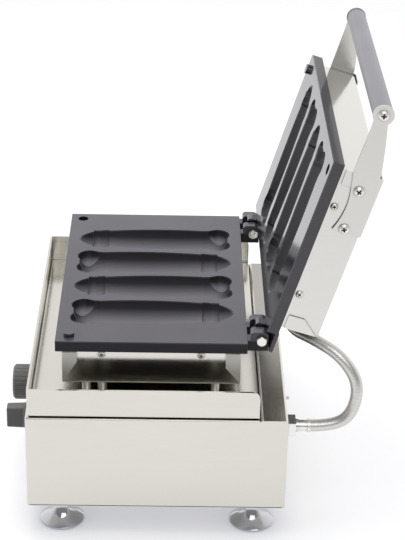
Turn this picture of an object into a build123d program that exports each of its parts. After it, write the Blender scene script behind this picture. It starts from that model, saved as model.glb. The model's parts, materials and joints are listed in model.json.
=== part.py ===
from build123d import *
import math
import os

# Shaped waffle maker with its lid open. Millimetres, +Z up, knobs towards -Y, hinge towards +Y.
# The origin is the middle of the outline on the table: hinge_y below centres it between the
# knob tips and the back of the handle. The two cooking units are drawn in a unit frame: x
# across, y back from the hinge axis, z up from the joint plane.

# base
base_width = 374.0
base_length = 280.0
base_floor_z = 34.5
base_height = 111.0
base_sheet = 1.5
base_corner = 3.0
top_flange = 14.0
deck_length = 30.6
deck_front_bend = 4.0
deck_lip = 9.0
foot_radius = 24.25
foot_rim = 2.6
foot_neck = 7.5
foot_neck_z = 27.0
foot_flare = ((19.0, 6.6), (13.0, 11.5), (9.0, 18.5))
foot_inset_x = 27.3
foot_inset_front = 36.1
foot_inset_rear = 34.5
stud_radius = 5.0
stud_reach = 8.0
foot_nut_flats = 17.0
foot_nut_height = 6.0

# splash tray
tray_sheet = 1.2
tray_lift = 1.5
tray_wall = 33.0
tray_front_setback = 2.4
tray_rear_gap = 0.5
tray_bend = 3.0
tray_hem = 6.0
tray_corner = 9.5
tray_hole_x = 64.0
tray_hole_y = 40.0
tray_hole_corner = 8.0
spacer_radius = 8.0

# mould plates and their cavities
plate_width = 318.6
plate_length = 203.5
plate_thickness = 12.3
plate_corner = 1.2
plate_edge = 0.4
joint_gap = 0.4
plate_setback = 14.8
cavity_count = 4
cavity_pitch = 60.6
cavity_end_margin = 13.2
cavity_length = 177.4
cavity_axis_lift = 7.5
head_length = 34.0
head_width = 48.0
head_mid_at = 15.6
head_mid_width = 37.0
collar_width = 44.0
collar_length = 4.5
neck_width = 38.0
body_width = 53.0
body_at = 90.0
waist_width = 49.0
waist_at = 146.0
tail_width = 38.2
tail_at = 166.0
lobe_radius = 14.3
lobe_tail = 42.0
lobe_mid_at = 17.6
lobe_mid_radius = 9.4
lobe_splay = 6.0
lobe_lift = 2.0
lobe_spread = 14.2
end_notch = 2.6
casting_wall = 4.0
pin_radius = 5.7
pin_height = 4.0
pin_clearance = 0.35
pin_inset_x = 13.6
pin_inset_y = 14.2

# hinge
hinge_z = 223.8
lid_open = 107.0
bolt_radius = 3.0
bolt_fit = 0.04
bolt_head_flats = 10.0
bolt_head_height = 4.0
hinge_nut_height = 5.0
bolt_end = 1.5
outer_lug_x = 152.0
outer_lug_width = 13.0
inner_lug_x = 122.0
inner_lug_width = 11.0
lid_lug_x = 137.0
lid_lug_width = 13.0
lug_reach_front = 11.9
lug_reach_back = 7.0
lug_round = 9.2
lug_front_corner = 4.0
tongue_thickness = 4.0
tongue_overhang = 6.5
tongue_clearance = 0.4
tongue_inner_x = 109.0

# casings behind the plates
casing_width = 302.0
casing_length = 190.0
casing_depth = 43.0
casing_setback = 21.5
casing_sheet = 1.2
casing_bend = 2.5
tab_width = 16.0
tab_top = 5.0
tab_far_edge = 16.5
tab_near_edge = 22.0
standoff_radius = 5.0
standoff_x = 127.5
standoff_places = (47.9, 169.9, 186.9)
casing_screw_drop = 7.0
casing_screw_places = (63.7, 169.5)
casing_screw_radius = 2.0
casing_screw_head = 4.0
boss_width = 14.0
boss_depth = 13.0

# heaters inside the casings
heater_radius = 3.25
heater_rows = 5
heater_pitch = 34.0
heater_half_width = 96.0
heater_bend = 15.0
heater_gap = 0.4
clamp_sheet = 1.5
clamp_width = 216.0
clamp_length = 150.0
post_radius = 4.5
post_spread = 52.0
clamp_screw_radius = 2.5
clamp_screw_head = 4.5
screw_grip = 8.0
mat_thickness = 16.0
mat_margin = 9.0
soft_gap = 0.3

# handle and its arms
arm_sheet = 1.5
arm_flange = 22.0
handle_s = 278.7
handle_n = 31.5
arm_disc_radius = 11.0
arm_end_cut = 8.0
arm_screw_margin = 4.4
arm_start_n = 25.5
arm_bay = ((17.8, 28.3), (34.5, 30.8), (52.9, 29.4))
arm_flange_overhang = 1.0
arm_inner_edge_start = 0.5
arm_inner_edge_stop = 16.7
arm_inner_edge_n = 24.2
arm_steps = ((1.0, 4.6), (6.5, 5.0))
arm_taper = (38.7, 9.8)
grip_radius = 10.4
grip_ring = 2.5
grip_ring_radius = 10.8
tie_rod_radius = 5.0
end_screw_radius = 2.5
end_screw_head = 5.8
end_screw_grip = 12.0
arm_screw_inset = 17.5
arm_screw_spacing = 44.0
arm_screw_n = 37.0
arm_screw_radius = 2.5
arm_screw_head = 5.75
arm_nut_flats = 8.0
arm_nut_height = 4.0

# knobs, controls and lamps on the front
knob_z = 95.0
round_knob_x = 25.0
round_knob_radius = 20.25
round_knob_reach = 26.6
bar_knob_x = 98.5
bar_skirt_radius = 14.5
bar_skirt_depth = 9.0
bar_height = 26.0
bar_width = 15.0
bar_knob_reach = 27.7
knob_gap = 0.6
knob_back_edge = 0.8
knob_front_edge = 2.4
flute_count = 24
flute_radius = 1.6
flute_depth = 0.5
flute_start = 4.0
knob_mark = (1.6, 7.0, 1.2)
knob_mark_inset = 5.0
bar_corner = 2.2
bar_taper = 2.0
shaft_radius = 3.0
shaft_fit = 0.08
shaft_inside = 14.0
bushing_radius = 5.0
knob_socket = 12.0
thermostat_size = 44.0
thermostat_depth = 34.0
timer_size = 52.0
timer_depth = 40.0
lamp_places = (-48.5, -110.0)
lamp_radius = 6.0
lamp_bezel_radius = 8.0
lamp_bezel_height = 2.0
lamp_body_depth = 24.0
lamp_dome_radius = 7.0
lamp_dome_set_back = 2.0
lamp_nut_flats = 18.0
lock_nut_height = 4.0

# hose, its fittings and the cord inlet
hose_radius = 6.6
block_width = 21.0
block_height = 15.0
block_depth = 8.9
fitting_inset = 20.5
fitting_z = 128.5
fitting_nut_flats = 14.0
fitting_ring_radius = 7.2
fitting_ring_length = 3.0
fitting_body_radius = 6.4
fitting_body_length = 9.5
fitting_collar_radius = 7.4
fitting_collar_length = 3.5
elbow_x = 66.0
elbow_n = 33.4
elbow_drop = 20.0
elbow_reach = 15.0
elbow_radius = 8.6
elbow_nut_flats = 22.0
elbow_nut_height = 5.0
rear_screw_inset = 22.0
rear_screw_z = 48.0
rear_screw_radius = 2.0
rear_screw_head = 4.0
rear_stud_inset = 73.5
rear_stud_z = 130.5
rear_stud_radius = 2.0
rear_stud_proud = 5.0
gland_inset = 57.0
terminal_length = 50.0
terminal_width = 22.0
terminal_height = 22.0
terminal_setback = 48.0
terminal_pitch = 16.0
terminal_hole_radius = 4.0
gland_z = 56.0
gland_radius = 9.0
gland_bore = 4.0
gland_flats = 22.0
gland_flange = 4.5
gland_round = 2.0
gland_reach = 9.5
sleeve_radius = 12.0
sleeve_wall = 1.5

# proportions of a domed screw head, and how far trimming boxes reach past a cavity
pan_rise = 0.62
pan_crown = 1.3
trim = 60.0

# places that follow from the sizes above
open_rad = math.radians(lid_open)
sin_open = math.sin(open_rad)
cos_open = math.cos(open_rad)
hinge_from_front = 249.8
handle_back = -cos_open * handle_s + sin_open * handle_n + arm_disc_radius
hinge_y = (hinge_from_front + bar_knob_reach - handle_back) / 2
base_half = base_width / 2
base_front = hinge_y - hinge_from_front
base_rear = base_front + base_length
base_top_z = base_floor_z + base_height
deck_front = base_rear - deck_length
tray_floor_z = base_top_z + tray_lift
plate_face = -joint_gap / 2
plate_back = plate_face - plate_thickness
casing_back = plate_back - casing_depth
casing_half = casing_width / 2
casing_inner = casing_half - casing_sheet
plate_half_width = plate_width / 2
plate_near = -plate_setback
plate_far = plate_near - plate_length
casing_near = -casing_setback
casing_far = casing_near - casing_length
arm_inner = casing_half + casing_sheet
arm_last_screw = -casing_far - arm_screw_inset
arm_screw_places = (arm_last_screw - arm_screw_spacing, arm_last_screw)
arm_flange_end = -casing_far + arm_flange_overhang
fitting_x = base_half - fitting_inset
rear_stud_place = (base_half - rear_stud_inset, rear_stud_z)
rear_screw_x = base_half - rear_screw_inset
rear_screw_places = (
    (-rear_stud_place[0], rear_stud_z),
    (-rear_screw_x, rear_screw_z),
    (rear_screw_x, rear_screw_z),
)
gland_x = gland_inset - base_half


def block(x0, x1, y0, y1, z0, z1):
    """A box between two corners."""
    return Pos((x0 + x1) / 2, (y0 + y1) / 2, (z0 + z1) / 2) * Box(x1 - x0, y1 - y0, z1 - z0)


def rod_x(radius, x0, x1, y=0.0, z=0.0):
    """A round bar along X."""
    return Pos((x0 + x1) / 2, y, z) * Rot(0, 90, 0) * Cylinder(radius, abs(x1 - x0))


def rod_y(radius, y0, y1, x=0.0, z=0.0):
    """A round bar along Y."""
    return Pos(x, (y0 + y1) / 2, z) * Rot(90, 0, 0) * Cylinder(radius, abs(y1 - y0))


def rod_z(radius, z0, z1, x=0.0, y=0.0):
    """A round bar along Z."""
    return Pos(x, y, (z0 + z1) / 2) * Cylinder(radius, abs(z1 - z0))


def hexagon_x(flats, x0, x1, y=0.0, z=0.0):
    """A hexagon bar along X."""
    face = Plane.YZ * RegularPolygon(flats / math.sqrt(3), 6, rotation=30)
    return Pos(x0, y, z) * extrude(face, x1 - x0, dir=(1, 0, 0))


def hexagon_y(flats, y0, y1, x, z):
    """A hexagon bar along Y."""
    face = Plane.XZ * RegularPolygon(flats / math.sqrt(3), 6)
    return Pos(x, y0, z) * extrude(face, y1 - y0, dir=(0, 1, 0))


def pan_screw(shank, length, head):
    """A domed screw along X with its head's seat at x = 0 and the head towards +X."""
    height = head * pan_rise
    crown_radius = head * pan_crown
    crown = Pos(height - crown_radius, 0, 0) * Sphere(crown_radius)
    head_form = rod_x(head, 0, height) & crown
    return head_form + rod_x(shank, -length, 0)


def place_lid(form):
    """Moves a piece of the upper unit from the unit frame to the open lid."""
    return Pos(0, hinge_y, hinge_z) * Rot(-lid_open, 0, 0) * form


def place_base(form):
    """Moves a piece of the lower unit from the unit frame to the base."""
    return Pos(0, hinge_y, hinge_z) * form


def save(name, form):
    """Writes one sub-part."""
    form.label = name
    export_step(form, "parts/" + name + ".step")


def spun(edges):
    """A solid of revolution about Y."""
    return revolve(make_face(edges), Axis.Y, 360)


def cavity_radius(half_width):
    """The radius about the raised axis that opens to a half width at the plate's face."""
    return math.hypot(half_width, cavity_axis_lift)


def cavity_form(grow):
    """One cavity's solid, tip at y = 0 and lobed end at y = cavity_length, grown by a wall.

    Its head, collar and body are turned about an axis above the plate's face, so that the walls
    meet the face steeply, and its two lobes are drops that splay out of the body.
    """
    brow = cavity_radius(head_width / 2) + grow
    collar = cavity_radius(collar_width / 2) + grow
    tip = cavity_axis_lift + grow
    step = head_length + grow
    mid = cavity_radius(head_mid_width / 2) + grow
    head = spun(
        [
            Line((0, -grow), (tip, -grow)),
            ThreePointArc((tip, -grow), (mid, head_mid_at - grow / 2), (brow, step)),
            Line((brow, step), (0, step)),
            Line((0, step), (0, -grow)),
        ]
    )
    neck = cavity_radius(neck_width / 2) + grow
    belly = cavity_radius(body_width / 2) + grow
    waist = cavity_radius(waist_width / 2) + grow
    start = head_mid_at
    end = cavity_length - end_notch + grow
    tail = cavity_radius(tail_width / 2) + grow
    band = rod_y(collar, start, head_length + collar_length + grow)
    body = spun(
        [
            Line((0, start), (neck, start)),
            ThreePointArc((neck, start), (belly, body_at), (waist, waist_at)),
            ThreePointArc((waist, waist_at), (tail, tail_at + grow / 2), (cavity_axis_lift, end)),
            Line((cavity_axis_lift, end), (0, end)),
            Line((0, end), (0, start)),
        ]
    )
    form = head + band + body
    fat = lobe_radius + grow
    lobe = spun(
        [
            ThreePointArc((0, -lobe_tail - grow), (lobe_mid_radius + grow, -lobe_mid_at), (fat, 0)),
            CenterArc((0, 0), fat, 0, 90),
            Line((0, fat), (0, -lobe_tail - grow)),
        ]
    )
    lobe_y = cavity_length - lobe_radius
    for side in (-1, 1):
        splayed = Rot(0, 0, side * -lobe_splay) * lobe
        form += Pos(side * lobe_spread, lobe_y, lobe_lift - cavity_axis_lift) * splayed
    return Pos(0, 0, cavity_axis_lift) * form


def cavity_places():
    """Where each cavity's tip lies and which way it points."""
    near_tip = plate_near - cavity_end_margin
    far_tip = near_tip - cavity_length
    first = -(cavity_count - 1) / 2 * cavity_pitch
    places = []
    for index in range(cavity_count):
        x = first + index * cavity_pitch
        if index % 2 == 0:
            places.append(Pos(x, far_tip, plate_face))
        else:
            places.append(Pos(x, near_tip, plate_face) * Rot(0, 0, 180))
    return places


def post_places():
    """Where the clamp plate's posts stand between the cavities."""
    middle = (casing_near + casing_far) / 2
    return [(column * cavity_pitch, middle + row * post_spread) for column in (-1, 0, 1) for row in (-1, 1)]


cavity_depth = cavity_radius(body_width / 2) - cavity_axis_lift
heater_z = plate_face - cavity_depth - casting_wall - heater_gap - heater_radius
clamp_z = heater_z - heater_radius


def plate_blank():
    """The casting that both plates share, facing up: plate, bulges, bosses, posts and cavities."""
    slab = block(-plate_half_width, plate_half_width, plate_far, plate_near, plate_back, plate_face)
    slab = fillet(slab.edges().filter_by(Axis.Z), plate_corner)
    slab = fillet(slab.faces().sort_by(Axis.Z)[-1].edges(), plate_edge)
    keep = block(-plate_half_width, plate_half_width, plate_far, plate_near, plate_back - trim, plate_face)
    under = block(-trim, trim, -trim, cavity_length + trim, -trim, -plate_thickness / 2)
    bulge = cavity_form(casting_wall) & under
    for place in cavity_places():
        slab += place * bulge & keep
    for s in casing_screw_places:
        for side in (-1, 1):
            x0, x1 = sorted((side * (casing_inner - boss_width), side * casing_inner))
            y0 = -s - boss_width / 2
            slab += block(x0, x1, y0, y0 + boss_width, plate_back - boss_depth, plate_back)
    for x, y in post_places():
        slab += rod_z(post_radius, clamp_z, plate_back, x, y)
    cut = cavity_form(0) & block(-trim, trim, -trim, cavity_length + trim, -trim, 0.0)
    for place in cavity_places():
        slab -= place * cut
    for s in casing_screw_places:
        for side in (-1, 1):
            x0, x1 = sorted((side * (casing_inner - 10), side * casing_inner))
            slab -= rod_x(casing_screw_radius, x0, x1, -s, plate_back - casing_screw_drop)
    for x, y in post_places():
        slab -= rod_z(clamp_screw_radius, clamp_z, clamp_z + 10, x, y)
    return slab


def lug_profile():
    """The fork lug's outline: a neck from the plate and a rounded block round the bolt."""
    top = lug_round
    low = plate_back
    corner = lug_front_corner
    turn = math.acos(lug_reach_back / lug_round)
    arc_start = (lug_reach_back, lug_round * math.sin(turn))
    edges = [
        Line((plate_near, low), (lug_reach_back, low)),
        Line((lug_reach_back, low), arc_start),
        CenterArc((0, 0), lug_round, math.degrees(turn), 90 - math.degrees(turn)),
        Line((0, top), (-lug_reach_front + corner, top)),
        CenterArc((-lug_reach_front + corner, top - corner), corner, 90, 90),
        Line((-lug_reach_front, top - corner), (-lug_reach_front, plate_face)),
        Line((-lug_reach_front, plate_face), (plate_near, plate_face)),
        Line((plate_near, plate_face), (plate_near, low)),
    ]
    return Plane.YZ * make_face(edges)


def lower_plate():
    """The fixed plate with two fork lugs at each hinge, a pin and a blind hole."""
    form = plate_blank()
    for side in (-1, 1):
        for edge, width in ((outer_lug_x, outer_lug_width), (inner_lug_x, inner_lug_width)):
            x0 = min(side * edge, side * (edge - width))
            form += Pos(x0, 0, 0) * extrude(lug_profile(), width, dir=(1, 0, 0))
        x0, x1 = sorted((side * (inner_lug_x - inner_lug_width), side * outer_lug_x))
        form -= rod_x(bolt_radius + bolt_fit / 2, x0, x1)
    x = plate_half_width - pin_inset_x
    y = plate_far + pin_inset_y
    form += rod_z(pin_radius, plate_face - 1, plate_face + pin_height, x, y)
    form -= rod_z(pin_radius + pin_clearance, plate_face - pin_height - 1.5, plate_face + 1, -x, y)
    return form


def upper_plate():
    """The lid's plate, a mirror image of the lower one, with a lug and a tongue at each hinge."""
    form = mirror(plate_blank(), Plane.XY)
    inner = lug_round + tongue_clearance
    for side in (-1, 1):
        x0 = min(side * lid_lug_x, side * (lid_lug_x - lid_lug_width))
        lug = extrude(lug_profile(), lid_lug_width, dir=(1, 0, 0))
        form += Pos(x0, 0, 0) * mirror(lug, Plane.XY)
        x0, x1 = sorted((side * tongue_inner_x, side * plate_half_width))
        tongue = block(x0, x1, plate_near - 1, tongue_overhang, inner, inner + tongue_thickness)
        tongue = fillet(tongue.edges().filter_by(Axis.X).sort_by(Axis.Y)[-1:], 1.0)
        form += tongue
        x0, x1 = sorted((side * (lid_lug_x - lid_lug_width), side * lid_lug_x))
        form -= rod_x(bolt_radius + bolt_fit * 1.5, x0, x1)
    x = plate_half_width - pin_inset_x
    y = plate_far + pin_inset_y
    form += rod_z(pin_radius, -plate_face - pin_height, -plate_face + 1, -x, y)
    form -= rod_z(pin_radius + pin_clearance, -plate_face - 1, -plate_face + pin_height + 1.5, x, y)
    return form


def casing():
    """The sheet box behind a plate, in the lower unit's frame, with its corner tabs."""
    outer = block(-casing_half, casing_half, casing_far, casing_near, casing_back, plate_back)
    outer = fillet(outer.faces().sort_by(Axis.Z)[0].edges(), casing_bend)
    inner = block(
        -casing_inner,
        casing_inner,
        casing_far + casing_sheet,
        casing_near - casing_sheet,
        casing_back + casing_sheet,
        plate_back + 1,
    )
    inner = fillet(inner.faces().sort_by(Axis.Z)[0].edges(), casing_bend - casing_sheet)
    form = outer - inner
    for side in (-1, 1):
        x0 = casing_half if side > 0 else -casing_half - casing_sheet
        for end, way, edge in ((casing_far, 1, tab_far_edge), (casing_near, -1, tab_near_edge)):
            outline = Polyline(
                (end, plate_back - tab_top),
                (end + way * tab_width, plate_back - tab_top),
                (end + way * tab_width, plate_back - edge),
                (end, casing_back + casing_bend),
                close=True,
            )
            tab = extrude(Plane.YZ * make_face(outline.edges()), casing_sheet, dir=(1, 0, 0))
            form += Pos(x0, 0, 0) * tab
        for s in casing_screw_places:
            x0, x1 = sorted((side * (casing_inner - 1), side * (casing_half + 1)))
            form -= rod_x(casing_screw_radius, x0, x1, -s, plate_back - casing_screw_drop)
    return form


def casing_screws():
    """The four side screws of one casing."""
    forms = []
    for side in (-1, 1):
        for s in casing_screw_places:
            screw = pan_screw(casing_screw_radius, casing_sheet + screw_grip, casing_screw_head)
            if side < 0:
                screw = Rot(0, 0, 180) * screw
            forms.append(Pos(side * casing_half, -s, plate_back - casing_screw_drop) * screw)
    return Compound(forms)


def heater():
    """The tubular heater, bent to and fro across the back of the cavities, with its two ends inside."""
    middle = (casing_near + casing_far) / 2
    first = middle - (heater_rows - 1) / 2 * heater_pitch
    points = []
    for row in range(heater_rows):
        y = first + row * heater_pitch
        side = 1 if row % 2 == 0 else -1
        points.append((-side * heater_half_width, y, heater_z))
        points.append((side * heater_half_width, y, heater_z))
    path = FilletPolyline(*points, radius=heater_bend)
    section = Plane(origin=points[0], z_dir=(1, 0, 0)) * Circle(heater_radius)
    return sweep(section, path=path)


def clamp_plate():
    """The plate that holds the heater against the casting."""
    middle = (casing_near + casing_far) / 2
    half_x = clamp_width / 2
    half_y = clamp_length / 2
    form = block(-half_x, half_x, middle - half_y, middle + half_y, clamp_z - clamp_sheet, clamp_z)
    form = fillet(form.edges().filter_by(Axis.Z), 6)
    for x, y in post_places():
        form -= rod_z(clamp_screw_radius, clamp_z - clamp_sheet, clamp_z, x, y)
    return form


def clamp_screws():
    """The clamp plate's screws."""
    forms = []
    for x, y in post_places():
        screw = Rot(0, 90, 0) * pan_screw(clamp_screw_radius, clamp_sheet + screw_grip, clamp_screw_head)
        forms.append(Pos(x, y, clamp_z - clamp_sheet) * screw)
    return Compound(forms)


def mat():
    """The insulation mat lying on the casing's back."""
    floor = casing_back + casing_sheet + soft_gap
    x = casing_inner - mat_margin
    form = block(-x, x, casing_far + mat_margin, casing_near - mat_margin, floor, floor + mat_thickness)
    return fillet(form.edges().filter_by(Axis.Z), 8)


def arm(side):
    """A handle arm with its long clearance curve, round end and flange over the casing's back."""
    back = -casing_back + arm_sheet
    first = arm_screw_places[0] - arm_screw_margin
    half_end = math.sqrt(arm_disc_radius**2 - arm_end_cut**2)
    end_back = (-handle_s + arm_end_cut, handle_n + half_end)
    end_front = (-handle_s + arm_end_cut, handle_n - half_end)
    corners = [(-arm_flange_end - past, back - drop) for past, drop in arm_steps]
    short, drop = arm_taper
    taper = (-handle_s + short, back - drop)
    near_edge = (-arm_flange_end - arm_inner_edge_start, arm_inner_edge_n)
    far_edge = (-handle_s + arm_inner_edge_stop, arm_inner_edge_n)
    bay = [(-arm_flange_end + short, n) for short, n in arm_bay]
    outline = [
        Line((-first, arm_start_n), (-first, back)),
        Line((-first, back), (-arm_flange_end, back)),
        Line((-arm_flange_end, back), corners[0]),
        Line(corners[0], corners[1]),
        Spline(corners[1], taper, end_back),
        Line(end_back, end_front),
        Line(end_front, far_edge),
        Line(far_edge, near_edge),
        Spline(near_edge, *bay, (-first, arm_start_n)),
    ]
    web = extrude(Plane.YZ * make_face(outline), arm_sheet, dir=(1, 0, 0))
    disc = rod_x(arm_disc_radius, 0, arm_sheet, -handle_s, handle_n)
    x0 = arm_inner if side > 0 else -arm_inner - arm_sheet
    form = Pos(x0, 0, 0) * (web + disc)
    x0, x1 = sorted((side * (arm_inner + arm_sheet), side * (casing_half - arm_flange)))
    form += block(x0, x1, -arm_flange_end, -first, back - arm_sheet, back)
    outer_edge = side * (arm_inner + arm_sheet)
    bend = [e for e in form.edges().filter_by(Axis.Y) if abs(e.center().X - outer_edge) < 0.01]
    bend = [e for e in bend if abs(e.center().Z - back) < 0.01]
    form = fillet(bend, arm_sheet * 0.9)
    for s in arm_screw_places:
        form -= rod_x(arm_screw_radius, x0 - 30, x1 + 30, -s, arm_screw_n)
    form -= rod_x(end_screw_radius, x0 - 30, x1 + 30, -handle_s, handle_n)
    return form


def arm_fixings():
    """The arm screws with their nuts inside the casing, as two sets of solids."""
    screws = []
    nuts = []
    for side in (-1, 1):
        for s in arm_screw_places:
            reach = arm_inner + arm_sheet - casing_inner + arm_nut_height
            screw = pan_screw(arm_screw_radius, reach, arm_screw_head)
            if side < 0:
                screw = Rot(0, 0, 180) * screw
            screws.append(Pos(side * (arm_inner + arm_sheet), -s, arm_screw_n) * screw)
            x0, x1 = sorted((side * (casing_inner - arm_nut_height), side * casing_inner))
            nut = hexagon_x(arm_nut_flats, x0, x1, -s, arm_screw_n)
            nuts.append(nut - rod_x(arm_screw_radius, x0, x1, -s, arm_screw_n))
    return Compound(screws), Compound(nuts)


def upper_casing():
    """The lid's casing with holes for the arms and the hose gland."""
    form = mirror(casing(), Plane.XY)
    for s in arm_screw_places:
        for side in (-1, 1):
            x0, x1 = sorted((side * (casing_inner - 2), side * (casing_half + 2)))
            form -= rod_x(arm_screw_radius, x0, x1, -s, arm_screw_n)
    form -= rod_y(elbow_radius - 2.0, casing_near - casing_sheet - 1, casing_near + 1, elbow_x, elbow_n)
    return form


def elbow():
    """The hose gland on the lid: a nut on the end wall and a bent body that turns to the side."""
    end_y = casing_near + elbow_drop
    form = hexagon_y(elbow_nut_flats, casing_near, casing_near + elbow_nut_height, elbow_x, elbow_n)
    form += rod_y(elbow_radius, casing_near, end_y, elbow_x, elbow_n)
    form += Pos(elbow_x, end_y, elbow_n) * Sphere(elbow_radius)
    form += rod_y(elbow_radius - 2.0, casing_near - 6, casing_near, elbow_x, elbow_n)
    inside = casing_near - casing_sheet
    form += hexagon_y(elbow_nut_flats - 4, inside - lock_nut_height, inside, elbow_x, elbow_n)
    form += rod_x(elbow_radius, elbow_x, elbow_x + elbow_reach, end_y, elbow_n)
    form += rod_x(elbow_radius + 0.9, elbow_x + elbow_reach - 4, elbow_x + elbow_reach, end_y, elbow_n)
    return form


def hinge_bolt(side):
    """A hinge bolt with its hexagon head outside the fork."""
    head = side * outer_lug_x
    x0, x1 = sorted((head, head + side * bolt_head_height))
    end = side * (inner_lug_x - inner_lug_width - hinge_nut_height - bolt_end)
    return hexagon_x(bolt_head_flats, x0, x1) + rod_x(bolt_radius, end, head)


def hinge_nut(side):
    """A hinge nut inside the fork."""
    face = side * (inner_lug_x - inner_lug_width)
    x0, x1 = sorted((face, face - side * hinge_nut_height))
    return hexagon_x(bolt_head_flats, x0, x1) - rod_x(bolt_radius + bolt_fit / 2, x0, x1)


def foot(x, y):
    """A bell foot with its stud and the nut inside the base."""
    flare = [(foot_radius, foot_rim), *foot_flare, (foot_neck, foot_neck_z)]
    outline = [
        Line((0, 0), (foot_radius - 1.0, 0)),
        Line((foot_radius - 1.0, 0), (foot_radius, 1.0)),
        Line((foot_radius, 1.0), flare[0]),
        Spline(*flare),
        Line(flare[-1], (foot_neck, base_floor_z)),
        Line((foot_neck, base_floor_z), (0, base_floor_z)),
        Line((0, base_floor_z), (0, 0)),
    ]
    form = revolve(Plane.XZ * make_face(outline), Axis.Z, 360)
    inside = base_floor_z + base_sheet
    form += rod_z(stud_radius, base_floor_z, inside + stud_reach)
    nut = extrude(Plane.XY * RegularPolygon(foot_nut_flats / math.sqrt(3), 6), foot_nut_height)
    form += Pos(0, 0, inside) * nut
    return Pos(x, y, 0) * form


def foot_places():
    """The four feet by name."""
    x = base_half - foot_inset_x
    front = base_front + foot_inset_front
    rear = base_rear - foot_inset_rear
    return {
        "foot_front_left": (-x, front),
        "foot_front_right": (x, front),
        "foot_rear_left": (-x, rear),
        "foot_rear_right": (x, rear),
    }


def base_shell():
    """The front and sides of the base in one folded sheet with narrow top flanges."""
    wall_rear = base_rear - base_sheet
    low = base_floor_z + base_sheet
    outer = block(-base_half, base_half, base_front, wall_rear, low, base_top_z)
    front_corners = outer.edges().filter_by(Axis.Z).sort_by(Axis.Y)[:2]
    outer = fillet(front_corners, base_corner)
    top = [e for e in outer.faces().sort_by(Axis.Z)[-1].edges() if e.center().Y < wall_rear - 1]
    outer = fillet(top, base_corner * 0.6)
    inner_half = base_half - base_sheet
    top_inside = base_top_z - base_sheet
    inner = block(-inner_half, inner_half, base_front + base_sheet, wall_rear + 1, low - 1, top_inside)
    inner = fillet(inner.edges().filter_by(Axis.Z).sort_by(Axis.Y)[:2], base_corner - base_sheet)
    form = outer - inner
    mouth = base_half - top_flange
    form -= block(-mouth, mouth, base_front + top_flange, wall_rear + 1, base_top_z - 3, base_top_z + 1)
    form -= block(-base_half - 1, base_half + 1, deck_front, wall_rear + 1, top_inside, base_top_z + 1)
    for x, radius in control_holes():
        form -= rod_y(radius, base_front - 1, base_front + base_sheet + 1, x, knob_z)
    return form


def control_holes():
    """The holes in the front: the two controls and the lamps."""
    holes = [(round_knob_x, bushing_radius), (bar_knob_x, bushing_radius)]
    for x in lamp_places:
        holes.append((x, lamp_radius))
    return holes


def rear_panel():
    """The back wall, the deck on top and the lip in front of the deck, in one folded sheet."""
    low = base_floor_z + base_sheet
    corners = [(deck_front, low), (base_rear, low), (base_rear, base_top_z), (deck_front, base_top_z)]
    outer = make_face(Polyline(*corners, close=True).edges())
    tops = outer.vertices().sort_by(Axis.Y)[-2:].sort_by(Axis.X)
    outer = fillet(tops[0], deck_front_bend)
    tops = outer.vertices().group_by(Axis.X)[-1].sort_by(Axis.Y)[-1:]
    outer = fillet(tops, base_corner)
    y0 = deck_front + base_sheet
    y1 = base_rear - base_sheet
    z1 = base_top_z - base_sheet
    inner = make_face(Polyline((y0, low - 1), (y1, low - 1), (y1, z1), (y0, z1), close=True).edges())
    inner = fillet(inner.vertices().sort_by(Axis.Y)[-2:].sort_by(Axis.X)[0], deck_front_bend - base_sheet)
    tops = inner.vertices().group_by(Axis.X)[-1].sort_by(Axis.Y)[-1:]
    inner = fillet(tops, base_corner - base_sheet)
    profile = Plane.YZ * (outer - inner)
    form = Pos(-base_half, 0, 0) * extrude(profile, base_width, dir=(1, 0, 0))
    form -= block(-base_half - 1, base_half + 1, deck_front - 1, deck_front + 4, low - 1, base_top_z - deck_lip)
    for side in (-1, 1):
        x0, x1 = sorted((side * (base_half - base_sheet), side * (base_half + 1)))
        form -= block(x0, x1, deck_front - 1, base_rear - base_sheet, low - 1, base_top_z - base_sheet)
    for x, z in rear_screw_places:
        form -= rod_y(rear_screw_radius, base_rear - base_sheet - 1, base_rear + 1, x, z)
    x, z = rear_stud_place
    form -= rod_y(rear_stud_radius, base_rear - base_sheet - 1, base_rear + 1, x, z)
    form -= rod_y(gland_radius - 2, base_rear - base_sheet - 1, base_rear + 1, gland_x, gland_z)
    form -= rod_y(fitting_body_radius - 1, base_rear - base_sheet - 1, base_rear + 1, fitting_x, fitting_z)
    return form


def bottom_plate():
    """The base's bottom with the stud holes."""
    form = block(-base_half, base_half, base_front, base_rear, base_floor_z, base_floor_z + base_sheet)
    form = fillet(form.edges().filter_by(Axis.Z), base_corner)
    for x, y in foot_places().values():
        form -= rod_z(stud_radius, base_floor_z, base_floor_z + base_sheet, x, y)
    return form


def top_plate():
    """The plate under the splash tray, held below the top flanges."""
    x = base_half - base_sheet
    z1 = base_top_z - base_sheet
    y0 = base_front + base_sheet
    form = block(-x, x, y0, deck_front, z1 - base_sheet, z1)
    form = fillet(form.edges().filter_by(Axis.Z).sort_by(Axis.Y)[:2], base_corner - base_sheet)
    form -= rod_z(sleeve_radius, z1 - base_sheet, z1, 0, tray_middle())
    return form


def tray_middle():
    """The middle of the tray, fore and aft."""
    return (base_front + tray_front_setback + deck_front - tray_rear_gap) / 2


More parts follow.
